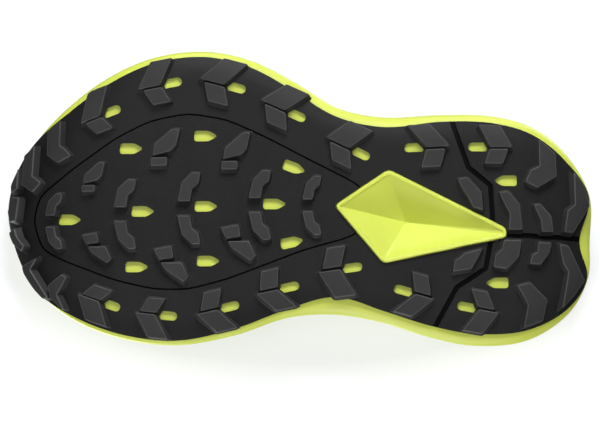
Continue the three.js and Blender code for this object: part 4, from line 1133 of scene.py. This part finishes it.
def flat_on_upper(u, v):
    """Where a point of the upper lies when the cloth is laid flat, in millimetres."""
    u, v = np.broadcast_arrays(np.asarray(u, float), np.asarray(v, float))
    column = (u % 1) * COLUMNS
    around = np.interp(column, np.arange(COLUMNS + 1), UPPER_ROUND) * 0.8 + np.floor(u) * UPPER_ROUND[-1]
    i = np.floor(column).astype(int) % COLUMNS
    j = np.clip(np.round(v * LEVELS).astype(int), 0, LEVELS)
    return np.stack([around, UPPER_RISE[i, j] + (v * LEVELS - j) * 1.4], -1)


def layer(start, end, edges, inside, outside, up=14, ringed=False):
    """One closed layer of the upper with rounded edges; start and end count stations."""
    count = int(abs(end - start) * 12) + (0 if ringed else 1)
    share = np.arange(count) / (count if ringed else count - 1)
    u = (start + (end - start) * share) * STATION
    bottom, top = edges(share)
    bottom, top = np.broadcast_to(bottom, u.shape), np.broadcast_to(top, u.shape)
    ends = np.ones(count)
    if not ringed:
        ends[[0, -1]] = 0.4
    rows, flat = [], []
    steps = [(0, 0.25), (0.02, 0.8), *((s, 1.0) for s in np.linspace(0.06, 0.94, up)), (0.98, 0.8), (1, 0.25)]
    for side in (1, -1):
        for s, soft in steps[::-side]:
            v = bottom + (top - bottom) * s
            o, i = outside(u, v), inside(u, v)
            middle, half = (o + i) / 2, (o - i) / 2
            rows.append(on_upper(u, v, middle + side * half * soft * ends))
            flat.append(flat_on_upper(u, v))
    points = np.stack(rows, 1)
    layout = np.stack(flat, 1)
    across = points.shape[1]
    faces = rows_faces(count, across, closed_rows=ringed, closed_across=True)
    if not ringed:
        faces += end_faces(count, across)
    return Pattern().add(points.reshape(-1, 3), faces, layout.reshape(-1, 2))


def same(value):
    """One distance from the upper's outside, everywhere."""
    return lambda u, v: np.full(np.broadcast(u, v).shape, float(value))


def hump(x):
    return np.sin(math.pi * np.clip(x, 0, 1))


def between(bottom, top):
    """Straight lower and upper edges for a layer."""
    return lambda share: (bottom, top)


def arched(bottom, low, high):
    """A straight lower edge and an arched upper one."""
    return lambda share: (bottom, low + high * np.sqrt(hump(share)))


def liner_depth(u, v):
    """How deep the collar's lining lies, with the padding's crown."""
    return LINER_DEPTH + COLLAR_PUFF * hump((v - 0.6) / 0.42) * np.sqrt(hump((u / STATION - 8.9) / 13.2))


# One stitch: where along it each ring of points lies (from which end, and how far on), how wide and how high,
# and the points of a ring.
STITCH_RINGS = ((0, 0, 0.35, -0.1), (0, 0.2, 0.9, 0.7), (0.5, 0, 1.0, 1.0), (1, -0.2, 0.9, 0.7), (1, 0, 0.35, -0.1))
STITCH_SECTION = ((-1, 0), (-0.6, 0.8), (0.6, 0.8), (1, 0), (0, -0.6))
STITCH_SPREAD, STITCH_PROUD, STITCH_GAP = 0.32, 0.35, 0.45


def stitches(pattern, places, normals, length):
    """A row of thread stitches along a line of points on a surface."""
    places, normals = np.asarray(places, float), np.asarray(normals, float)
    run = run_along(places)

    def taken(line, distance):
        return np.array([np.interp(distance, run, line[:, c]) for c in range(3)])

    for k in range(int(run[-1] / length)):
        a, b = (k + STITCH_GAP / 2) * length, (k + 1 - STITCH_GAP / 2) * length
        spots = {0: taken(places, a), 0.5: taken(places, (a + b) / 2), 1: taken(places, b)}
        n = unit(taken(normals, (a + b) / 2))
        along = spots[1] - spots[0]
        side = unit(np.cross(n, along))
        rings = []
        for spot, on, width, lift in STITCH_RINGS:
            for x, z in STITCH_SECTION:
                across = side * x * STITCH_SPREAD * width
                rings.append(spots[spot] + along * on + across + n * STITCH_PROUD * (lift * 0.6 + z * 0.5 * width))
        faces = rows_faces(5, 5, closed_across=True) + end_faces(5, 5)
        pattern.add(rings, [f[::-1] for f in faces], np.array(rings)[:, :2])


def seam(pattern, stations, v, out, length):
    """Stitches on the upper along stations, at a height v and a distance out."""
    u = np.asarray(stations) * STATION
    v = np.broadcast_to(v, u.shape)
    stitches(pattern, on_upper(u, v, out), on_upper(u, v, out + 1) - on_upper(u, v, out), length)


class SHOE_OT_upper(bpy.types.Operator):
    """Build the mesh shell with its inner lining, counter, board and insole"""

    bl_idname = "shoe.upper"
    bl_label = "Upper and lining"

    def execute(self, context):
        sizes = context.scene.upper_sizes
        shell = layer(0, len(STATIONS), between(0, 1), same(-sizes.shell / MM), same(0), up=44, ringed=True)
        shell.make("mesh_shell", finish("upper_mesh"), "shoe", "mesh_cloth", ["upper_shell"], crease=60)
        deep = same(-LINING_DEPTH - LINING)
        lining = layer(-8.5, 8.5, between(0.06, 0.75), deep, same(-LINING_DEPTH), up=20)
        lining.make("toe_lining", finish("lining_knit"), "shoe", "lining_cloth", ["vamp_lining"], crease=60)
        dress("heel_counter", "board")
        dress("strobel_board", "board")
        self.insole()
        return {"FINISHED"}

    def insole(self):
        """The insole: a pad with rounded edges and a slightly hollow top."""
        base = 2 * GAP + BOARD

        def level(more, lift):
            return (lambda t: inset_at(t) + more, lambda x, y: footbed_at(x) + base + lift)

        bed = Pattern()
        section = ((6.2, 0.1), (5.4, 0.5), (5.2, 1.5), (5.25, 3.6), (5.6, 4.6), (6.3, 5.0), (8, 4.7), (11, 4.2))
        steps = ROUND // 2
        ring_wall(bed, [level(*place) for place in section], steps=steps, top=False)
        t = places_round(steps)
        rim = inside_edge(t, inset_at(t) + 11)
        where, faces = plan_triangles([rim], lambda p: contains(rim, p), 5)
        x, y = where.T
        hollow = 0.7 * np.minimum(1, np.maximum(0, distance_inside(x, y) - 28) / 10)
        bed.add(np.column_stack([where, footbed_at(x) + base + 4.2 - hollow]), facing(where, faces, True))
        cloth = finish("lining_knit")
        piece = bed.make("insole_bed_cloth", cloth, "insole_bed", "insole_cloth", ["insole"], crease=50)


class SHOE_OT_trim(bpy.types.Operator):
    """Build the rand, toe cap, side overlays and heel cover with their stitching"""

    bl_idname = "shoe.trim"
    bl_label = "Overlays"

    def execute(self, context):
        sizes = context.scene.upper_sizes
        out, stitch = FILM_FOOT + sizes.film / MM, sizes.stitch / MM
        shapes = {
            "rand": (0, len(STATIONS), between(0.12, 0.24), dict(up=6, ringed=True)),
            "toe_cap": (-3.5, 3.5, arched(0.26, 0.3, 0.27), dict(up=14)),
            "side_overlay_outer": (6, 8, between(0.26, 0.81), dict(up=24)),
            "side_overlay_inner": (-8, -6, between(0.26, 0.81), dict(up=24)),
            "heel_cover": (12, 19, arched(0.26, 0.31, 0.5), dict(up=18)),
        }
        for name, (start, end, edges, more) in shapes.items():
            pattern = layer(start, end, edges, same(FILM_FOOT), same(out), **more)
            pattern.make(name + "_film", finish("film"), "shoe", "film", [name], crease=50)
        thread = Pattern()
        for start, end, low, high, count in ((-3.3, 3.3, 0.27, 0.27, 120), (12.2, 18.8, 0.28, 0.5, 160)):
            rise = low + high * np.sqrt(hump(np.linspace(0.03, 0.97, count)))
            seam(thread, np.linspace(start, end, count), rise, out, stitch)
        thread.make("overlay_stitching", finish("thread"), "shoe", "mesh_cloth", crease=60)
        return {"FINISHED"}


class SHOE_OT_collar(bpy.types.Operator):
    """Build the padded collar, its lining, its edge binding and the heel loop"""

    bl_idname = "shoe.collar"
    bl_label = "Collar and heel loop"

    def execute(self, context):
        stitch = context.scene.upper_sizes.stitch / MM

        def lined(more):
            return lambda u, v: more - liner_depth(u, v)

        foam = layer(9.5, 21.5, between(0.65, 0.97), lined(GAP), same(-LINING_DEPTH), up=12)
        piece = foam.make("collar_padding", finish("pad_foam"), "shoe", "foam_padding", ["collar_foam"])
        lining = layer(9, 22, between(0.06, 0.985), lined(-LINING), lined(0), up=34)
        cloth = finish("lining_knit")
        lining.make("collar_lining_cloth", cloth, "shoe", "lining_cloth", ["collar_lining"], crease=60)
        self.binding()
        self.heel_loop()
        thread = Pattern()
        seam(thread, np.linspace(9.6, 21.4, 400), 0.955, 0, stitch)
        thread.make("collar_stitching", finish("thread"), "shoe", "mesh_cloth", crease=60)
        return {"FINISHED"}

    def binding(self):
        """A folded tape over the collar's edge, from the mesh's outside to the lining."""
        u = np.linspace(9.5, 21.5, 260) * STATION
        sides, r = 14, BINDING_RADIUS
        top = on_upper(u, 1.0)
        rise = unit(top - on_upper(u, 0.97))
        centre = on_upper(u, 1.0, -LINING_DEPTH) + rise * (r + 0.4)
        out = on_upper(u, 1.0, 1) - top
        rings = []
        for a in np.linspace(0, math.tau, sides, endpoint=False):
            wide = r * (1 + 0.12 * math.cos(2 * a))
            rings.append(centre + out * (math.cos(a) * wide) + rise * (math.sin(a) * r))
        points = np.stack(rings, 1)
        flat = np.stack(np.broadcast_arrays(run_along(centre)[:, None], np.arange(sides)[None] * 0.75), -1)
        faces = rows_faces(len(u), sides, closed_across=True) + end_faces(len(u), sides)
        pattern = Pattern().add(points.reshape(-1, 3), [f[::-1] for f in faces], flat.reshape(-1, 2))
        pattern.make("collar_tape", finish("webbing"), "shoe", "webbing", ["collar_binding"], crease=60)

    def heel_loop(self):
        """Woven tape folded into a loop, with its two layers sewn together at the foot."""
        low, high = (np.array(c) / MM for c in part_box("heel_pull_tab"))
        middle, size = (low + high) / 2 - SHIFT, high - low
        thick, width = 1.6, size[1]
        r = size[0] / 2
        straight = size[2] / 2 - r
        path = []
        for a in np.linspace(0, math.pi, 15):
            path.append((r * math.cos(a), straight + r * math.sin(a), math.cos(a), math.sin(a)))
        for z in np.linspace(straight, -straight, 14)[1:-1]:
            path.append((-r + self.pinch(z, straight, r - thick), z, -1, 0))
        for a in np.linspace(math.pi, math.tau, 15):
            path.append((r * math.cos(a) * 0.5, -straight + r * math.sin(a), math.cos(a), math.sin(a)))
        for z in np.linspace(-straight, straight, 14)[1:-1]:
            path.append((r - self.pinch(z, straight, r - thick), z, 1, 0))
        pattern = Pattern()
        half = [(-1, -0.5), (-0.96, -0.9), (0.96, -0.9), (1, -0.5)]
        section = half + [(-y, -d) for y, d in half]
        rows, flat, run = [], [], 0.0
        for k, (x, z, nx, nz) in enumerate(path):
            if k:
                run += math.hypot(x - path[k - 1][0], z - path[k - 1][1])
            for y, d in section:
                drop = thick / 2 - d * thick / 2
                rows.append((middle[0] + x - nx * drop, middle[1] + y * width / 2, middle[2] + z - nz * drop))
                flat.append((run, y * width / 2))
        faces = rows_faces(len(path), len(section), closed_rows=True, closed_across=True)
        pattern.add(rows, faces, flat)
        pattern.make("heel_loop_tape", finish("webbing"), "pull_loop", "webbing", ["heel_pull_tab"], crease=50)
        thread = Pattern()
        back = middle[0] - r + self.pinch(-6, straight, r - thick)
        for z in (-4.5, -8.5):
            line = [(back, middle[1] + y, middle[2] + z) for y in np.linspace(-width * 0.42, width * 0.42, 12)]
            stitches(thread, line, [(-1, 0, 0)] * 12, 1.7)
        thread.make("heel_loop_stitching", finish("thread"), "pull_loop", "webbing", crease=60)

    def pinch(self, z, straight, room):
        """How far the loop's two layers are drawn together below its middle."""
        return 0.8 * smooth(0, 1, (0.1 - z) / straight) * room


# ---- Tongue, eyestays and lacing ----
def tongue_centre(station):
    """The middle of the tongue between two matching places on the throat's edges."""
    middle = (opening_at(station * STATION) + opening_at(-station * STATION)) / 2
    return middle + np.array([0, 0, TONGUE_CROWN - TONGUE_SINK])


def eased(points, times):
    """Rows of points with smooth in-between rows added."""
    p = np.asarray(points, float)
    out = []
    for i in range(len(p) - 1):
        near = p[max(i - 1, 0)], p[i], p[i + 1], p[min(i + 2, len(p) - 1)]
        out += [smooth_step(*near, k / times) for k in range(times)]
    return np.array([*out, p[-1]])


def tongue_root():
    """Where the tongue leaves the throat, and the way to its free tip."""
    root = tongue_centre(TONGUE_END)
    return root, np.array(TONGUE_TOP) - [0, 0, TONGUE_SINK] - root


def tongue_surface(down):
    """Rows across the tongue at a depth below the upper's outside, from the toe end to the free tip."""
    rows = []
    for station in TONGUE_STATIONS:
        side = {s: on_upper(s * station * STATION, np.array([0.84, 0.92, 0.995]), -down) for s in (1, -1)}
        share = np.array([0.25, 0.5, 0.75])[:, None]
        middle = side[1][2] * (1 - share) + side[-1][2] * share
        middle[:, 2] += TONGUE_CROWN * hump(share[:, 0])
        rows.append(np.concatenate([side[1], middle, side[-1][::-1]]))
    root, reach = tongue_root()
    thick = unit(np.array([reach[2], 0, -reach[0]]))
    q = np.array([1, 0.8, 0.6, 0.3, 0, -0.3, -0.6, -0.8, -1])[:, None]
    for share, half in TONGUE_FREE:
        curl = thick * (TONGUE_SINK - down - TONGUE_CURL * q**2)
        rows.append(root + reach * share + np.array([0, 1, 0]) * q * half + curl)
    return eased(np.swapaxes(eased(np.swapaxes(np.array(rows), 0, 1), 5), 0, 1), 6)


def two_sided(outer, inner):
    """A closed soft slab between two grids of points, with rounded edges."""
    rows, across = outer.shape[:2]
    i = np.minimum(np.arange(rows), np.arange(rows)[::-1])[:, None]
    j = np.minimum(np.arange(across), np.arange(across)[::-1])[None]
    near = np.minimum(i, j) / 2.0
    thin = (1 - 0.7 * np.maximum(0, 1 - near) ** 2)[..., None]
    middle = (outer + inner) / 2
    run = np.cumsum(np.linalg.norm(np.diff(middle, axis=0, prepend=middle[:1]), axis=-1), 0)
    cross = np.cumsum(np.linalg.norm(np.diff(middle, axis=1, prepend=middle[:, :1]), axis=-1), 1)
    flat = np.stack([run, cross], -1)
    points = np.concatenate([middle + (outer - middle) * thin, (middle + (inner - middle) * thin)[:, ::-1]], 1)
    layout = np.concatenate([flat, flat[:, ::-1]], 1)
    faces = rows_faces(rows, 2 * across, closed_across=True)
    for row in (0, rows - 1):
        for k in range(across - 1):
            a, b = row * 2 * across + k, row * 2 * across + 2 * across - 1 - k
            faces.append((a, a + 1, b - 1, b))
    return Pattern().add(points.reshape(-1, 3), faces, layout.reshape(-1, 2))


def frame_on(station, rise, side):
    """A place on the eyestay: its origin, the way along the edge to the heel, across and outward."""
    u = side * station * STATION
    normal = on_upper(u, LOOP_V, 1) - on_upper(u, LOOP_V)
    along = on_upper(u + side * 0.004, LOOP_V) - on_upper(u - side * 0.004, LOOP_V)
    across = unit(np.cross(normal, along))
    return on_upper(u, LOOP_V, rise), np.cross(across, normal), across, normal


def tube(path, radius, sides=12):
    """A round cord along a line of points, closed at both ends."""
    run = run_along(path)
    along = unit(np.gradient(path, axis=0))
    side = np.cross(along[0], [0, 0, 1.0])
    rows, flat = [], []
    for k, (p, t) in enumerate(zip(path, along)):
        side = unit(side - t * (side @ t))
        up = np.cross(t, side)
        r = radius * (0.6 if k in (0, len(path) - 1) else 1)
        for a in np.linspace(0, math.tau, sides, endpoint=False):
            rows.append(p + side * (math.cos(a) * r) + up * (math.sin(a) * r))
            flat.append((run[k], a * radius))
    faces = rows_faces(len(path), sides, closed_across=True) + end_faces(len(path), sides)
    return Pattern().add(rows, faces, flat)


def along_points(points, step=0.5):
    """A smooth line through points of uneven spacing, in even steps."""
    p = np.asarray(points, float)
    p = np.concatenate([[2 * p[0] - p[1]], p, [2 * p[-1] - p[-2]]])
    out = []
    for a, b, c, d in zip(p, p[1:], p[2:], p[3:]):
        t0, t1 = 0, np.linalg.norm(b - a) ** 0.5
        t2 = t1 + np.linalg.norm(c - b) ** 0.5
        t3 = t2 + np.linalg.norm(d - c) ** 0.5
        for s in np.linspace(t1, t2, max(2, int(np.linalg.norm(c - b) / step)), endpoint=False):
            ab = a * (t1 - s) / (t1 - t0) + b * (s - t0) / (t1 - t0)
            bc = b * (t2 - s) / (t2 - t1) + c * (s - t1) / (t2 - t1)
            cd = c * (t3 - s) / (t3 - t2) + d * (s - t2) / (t3 - t2)
            left = ab * (t2 - s) / (t2 - t0) + bc * (s - t0) / (t2 - t0)
            right = bc * (t3 - s) / (t3 - t1) + cd * (s - t1) / (t3 - t1)
            out.append(left * (t2 - s) / (t2 - t1) + right * (s - t1) / (t2 - t1))
    return np.array([*out, p[-2]])


def lock_frame():
    """The lace lock's middle, and the ways along the laces, across and outward."""
    root, reach = tongue_root()
    along = unit(reach)
    across = np.array([0, -1.0, 0])
    normal = np.cross(along, across)
    return root + along * 6 + normal * (LOCK[2] / 2 + 3), along, across, normal


def lace_strand(side, radius):
    """The places that half of the lace passes, from the toe end to beyond the lock."""
    rise = FILM_FOOT + FILM + radius + 0.8
    points = []
    for i, station in enumerate(LOOP_STATIONS):
        here = -side if i % 2 else side
        origin, along, _, _ = frame_on(station, rise, here)
        before, after = (on_upper(here * (station + turn) * STATION, 1, rise + 0.7) for turn in (-0.46, 0.46))
        points += [before] * (i > 0) + [origin + along * x for x in (-2.2, 0, 2.2)] + [after]
        if i < len(LOOP_STATIONS) - 1:
            lift = radius + 3 + (2 * radius + 0.9 if side > 0 else 0)
            points.append(tongue_centre((station + LOOP_STATIONS[i + 1]) / 2) + [0, 0, lift])
    origin, along, across, _ = lock_frame()
    for x in (-LOCK[0] / 2 - 2, -LOCK[0] / 2, LOCK[0] / 2, LOCK[0] / 2 + 6):
        points.append(origin + along * x - across * STRAND_APART * side)
    return points


def block(pattern, origin, axes, size, waist=0.0):
    """A soft-edged block along its frame's first axis."""
    along, across, normal = axes
    length, width, high = size
    shape = []
    for a in np.linspace(0, math.tau, 48, endpoint=False):
        c, s = math.cos(a), math.sin(a)
        shape.append((math.copysign(abs(c) ** 0.45, c), math.copysign(abs(s) ** 0.55, s)))
    half = ((-0.5, 0.0), (-0.5, 0.8), (-0.47, 0.92), (-0.42, 0.98), (-0.3, 1), (-0.1, 1 - waist))
    rows = []
    for x, fit in (*half, *((-x, fit) for x, fit in half[::-1])):
        for sx, sz in shape:
            rows.append(origin + along * x * length + across * sx * fit * width / 2 + normal * sz * fit * high / 2)
    pattern.add(rows, rows_faces(2 * len(half), len(shape), closed_across=True))


class SHOE_OT_tongue(bpy.types.Operator):
    """Build the padded tongue"""

    bl_idname = "shoe.tongue"
    bl_label = "Tongue"

    def execute(self, context):
        face = two_sided(tongue_surface(TONGUE_SINK), tongue_surface(TONGUE_SINK + 1.2))
        face.make("tongue_cloth", finish("upper_mesh"), "tongue", "mesh_cloth", ["tongue_face"], crease=60)
        pad = two_sided(tongue_surface(TONGUE_SINK + 1.5), tongue_surface(TONGUE_SINK + 5.5))
        cloth = finish("lining_knit")
        piece = pad.make("tongue_pad", cloth, "tongue", "foam_padding", ["tongue_padding"], crease=60)
        edge = tongue_surface(TONGUE_SINK + 0.6)[-32:]
        line = np.concatenate([edge[:, 0], edge[-1, 1:-1], edge[::-1, -1]])
        tape = tube(along_points(line[::3], 1.0), 1.3, 10)
        tape.make("tongue_tape", finish("webbing"), "tongue", "webbing", crease=60)
        return {"FINISHED"}


class SHOE_OT_lacing(bpy.types.Operator):
    """Build the eyestays, their loops, the lace, its lock and its end clip"""

    bl_idname = "shoe.lacing"
    bl_label = "Lacing"

    def execute(self, context):
        sizes = context.scene.upper_sizes
        radius, film = sizes.lace_radius / MM, sizes.film / MM
        rise = FILM_FOOT + film + radius + 0.8
        stitch = sizes.stitch / MM
        thread = Pattern()
        for name, side in (("eyestay_outer", 1), ("eyestay_inner", -1)):
            stay = layer(side, side * 8.5, between(0.84, 0.985), same(FILM_FOOT), same(FILM_FOOT + film), up=10)
            for station in LOOP_STATIONS:
                self.loop(stay, station, rise, side, radius + 1.2)
            stay.make(name + "_band", finish("webbing"), "shoe", "webbing", [name], crease=45)
            seam(thread, np.linspace(side * 1.2, side * 8.3, 200), 0.855, FILM_FOOT + film, stitch)
        thread.make("eyestay_stitching", finish("thread"), "shoe", "mesh_cloth", crease=60)
        lace = tube(along_points([*lace_strand(1, radius)[::-1], *lace_strand(-1, radius)]), radius)
        lace.make("laced_cord", finish("braid"), "shoe", "lace_cord", ["lace"], crease=60)
        origin, *axes = lock_frame()
        lock, clip = Pattern(), Pattern()
        block(lock, origin, axes, LOCK, 0.08)
        block(lock, origin + axes[2] * LOCK[2] * 0.5, axes, (LOCK[0] * 0.5, LOCK[1] * 0.5, 1.6))
        block(clip, origin + axes[0] * (LOCK[0] / 2 + 4 + CLIP[0] / 2), axes, CLIP, 0.05)
        for name, body in (("lace_lock", lock), ("lace_end_clip", clip)):
            body.make(name + "_body", finish("lock_plastic"), "shoe", "lock_plastic", [name], crease=35)
        return {"FINISHED"}

    def loop(self, pattern, station, rise, side, bore):
        """A narrow band arched over the lace."""
        origin, along, across, normal = frame_on(station, rise, side)
        foot = -rise + FILM_FOOT + 0.45
        r = bore + 0.45
        path = [(r, foot, 1, 0), (r, foot * 0.5, 1, 0)]
        path += [(r * math.cos(a), r * math.sin(a), math.cos(a), math.sin(a)) for a in np.linspace(0, math.pi, 15)]
        path += [(-r, foot * 0.5, -1, 0), (-r, foot, -1, 0)]
        section = [(-1, -0.5), (-0.85, -1), (0.85, -1), (1, -0.5), (1, 0.5), (0.85, 1), (-0.85, 1), (-1, 0.5)]
        rows, flat = [], []
        for k, (y, z, ny, nz) in enumerate(path):
            for x, d in section:
                place = origin + across * (y + ny * d * 0.45) + normal * (z + nz * d * 0.45) + along * x * 1.5
                rows.append(place)
                flat.append((k * 0.8, x * 1.5))
        faces = rows_faces(len(path), len(section), closed_across=True) + end_faces(len(path), len(section))
        pattern.add(rows, faces, flat)


# ---- Stage ----
def area_light(name, place, aim, size, power):
    """A round soft lamp at a place, turned to its aim."""
    data = bpy.data.lights.new(name, "AREA")
    data.shape, data.size, data.energy = "DISK", size, power
    lamp = bpy.data.objects.new(name, data)
    bpy.context.scene.collection.objects.link(lamp)
    lamp.location = place
    lamp.rotation_euler = (Vector(aim) - Vector(place)).to_track_quat("-Z", "Y").to_euler()


SHEET_HALF = 12.0  # half the width of the floor and of the backdrop, in metres
FLOOR_HEIGHT = -0.0003  # just below the lugs
CAMERA_ACROSS = (-0.0005, -0.00565)  # where the camera looks straight up at the sole


def pale_sheet(name, height, faces_up, color, glow, fade):
    """A wide plain sheet that shows from its front only, and glows white away from the shoe."""
    half = SHEET_HALF
    mesh = bpy.data.meshes.new(name)
    corners = [(-half, -half, height), (half, -half, height), (half, half, height), (-half, half, height)]
    mesh.from_pydata(corners, [], [(0, 1, 2, 3) if faces_up else (3, 2, 1, 0)])
    sheet = bpy.data.objects.new(name, mesh)
    bpy.context.scene.collection.objects.link(sheet)
    f = Finish(name)
    spot = f.node("ShaderNodeVectorMath", {"operation": "MULTIPLY"}, {0: f.place(), 1: (0.5, 1, 0)})["Vector"]
    away = f.node("ShaderNodeVectorMath", {"operation": "LENGTH"}, {0: spot})["Value"]
    white = (1, 1, 1, 1)
    glowing = f.blend(shade(white, glow), white, f.ramp(away, (fade[0], 0), (fade[1], 1)))
    sockets = {"Base Color": color, "Roughness": 0.8, "Emission Color": glowing, "Emission Strength": 1.0}
    pale = f.node("ShaderNodeBsdfPrincipled", None, sockets)["BSDF"]
    clear = f.node("ShaderNodeBsdfTransparent")["BSDF"]
    back = f.node("ShaderNodeNewGeometry")["Backfacing"]
    mixed = f.node("ShaderNodeMixShader", None, {0: back, 1: pale, 2: clear})["Shader"]
    f.node("ShaderNodeOutputMaterial", None, {"Surface": mixed})
    mesh.materials.append(f.material)
    sheet.visible_shadow = sheet.visible_diffuse = sheet.visible_glossy = False


class StageSetting(bpy.types.PropertyGroup):
    """Camera distance and light levels."""

    lens: FloatProperty(
        name="Lens", description="Focal length in millimetres", default=300, min=20, max=500, unit="CAMERA")
    away: length("Camera distance", "From the camera to the ground plane", 2.335, 0.3, 6)
    backdrop: length("Backdrop height", "Height of the sheet behind the sole", 0.047, 0.02, 1)
    ambient: FloatProperty(
        name="Ambient", description="Strength of the surrounding light", default=0.36, min=0, max=3)
    key: FloatProperty(
        name="Key light", description="Power of the main light", default=13, min=0, max=200, unit="POWER")
    fill: FloatProperty(
        name="Fill light", description="Power of the other lights", default=6, min=0, max=200, unit="POWER")


class SHOE_OT_stage(bpy.types.Operator):
    """Set up the camera, the lights, the floor and the backdrop"""

    bl_idname = "shoe.stage"
    bl_label = "Stage"

    def execute(self, context):
        setting = context.scene.stage_setting
        data = bpy.data.cameras.new("camera")
        data.lens = setting.lens
        data.clip_start, data.clip_end = 0.01, 40
        camera = bpy.data.objects.new("camera", data)
        context.scene.collection.objects.link(camera)
        camera.location = (*CAMERA_ACROSS, -setting.away)
        camera.rotation_euler = (0, math.pi, 0)
        context.scene.camera = camera
        world = bpy.data.worlds.new("studio")
        world.use_nodes = True
        tree = world.node_tree
        seen = tree.nodes.new("ShaderNodeLightPath").outputs["Is Camera Ray"]
        strength = tree.nodes.new("ShaderNodeMix")
        strength.inputs[2].default_value, strength.inputs[3].default_value = setting.ambient, 1.0
        tree.links.new(seen, strength.inputs[0])
        tree.links.new(strength.outputs[0], tree.nodes["Background"].inputs["Strength"])
        tree.nodes["Background"].inputs["Color"].default_value = (1, 1, 1, 1)
        context.scene.world = world
        context.scene.view_settings.view_transform = "Standard"
        pale_sheet("floor", FLOOR_HEIGHT, True, (0.55, 0.55, 0.555, 1), 0.6, (0.12, 0.3))
        pale_sheet("backdrop", setting.backdrop, False, (0.33, 0.345, 0.37, 1), 0.6, (0.078, 0.108))
        for name, place, aim, size, power in (
            ("key", (-0.1, 0.78, -0.7), (0, 0, 0), 0.5, setting.key),
            ("front_fill", (0.4, -0.1, -1.3), (0, 0, 0), 0.9, setting.fill),
            ("low_bounce", (0.1, -1.0, -0.06), (0, -0.03, 0.02), 0.4, setting.fill * 1.1),
            ("top_key", (0.5, -0.6, 1.0), (0, 0, 0.05), 0.7, setting.key * 0.7),
            ("top_fill", (-0.7, 0.7, 0.8), (0, 0, 0.05), 0.8, setting.fill),
        ):
            area_light(name, place, aim, size, power)
        return {"FINISHED"}


# ---- Add-on ----
GROUPS = {
    "shoe_colours": ShoeColours,
    "tread_sizes": TreadSizes,
    "upper_sizes": UpperSizes,
    "stage_setting": StageSetting,
}
PIECES = (
    SHOE_OT_outsole,
    SHOE_OT_midsole,
    SHOE_OT_upper,
    SHOE_OT_trim,
    SHOE_OT_collar,
    SHOE_OT_tongue,
    SHOE_OT_lacing,
    SHOE_OT_stage,
)


class SHOE_PT_builder(bpy.types.Panel):
    """The shoe's sizes, colours and parts"""

    bl_idname = "SHOE_PT_builder"
    bl_label = "Trail running shoe"
    bl_space_type = "VIEW_3D"
    bl_region_type = "UI"
    bl_category = "Shoe"

    def draw(self, context):
        for name, group in GROUPS.items():
            for key in group.__annotations__:
                self.layout.prop(getattr(context.scene, name), key)
        for piece in PIECES:
            self.layout.operator(piece.bl_idname)


def register():
    for made in (*GROUPS.values(), *PIECES, SHOE_PT_builder):
        bpy.utils.register_class(made)
    for name, group in GROUPS.items():
        setattr(bpy.types.Scene, name, PointerProperty(type=group))


def unregister():
    for name in GROUPS:
        delattr(bpy.types.Scene, name)
    for made in reversed((*GROUPS.values(), *PIECES, SHOE_PT_builder)):
        bpy.utils.unregister_class(made)


def main():
    register()
    bpy.ops.shoe.outsole()
    bpy.ops.shoe.midsole()
    bpy.ops.shoe.upper()
    bpy.ops.shoe.trim()
    bpy.ops.shoe.collar()
    bpy.ops.shoe.tongue()
    bpy.ops.shoe.lacing()
    bpy.ops.shoe.stage()


if __name__ == "__main__":
    main()
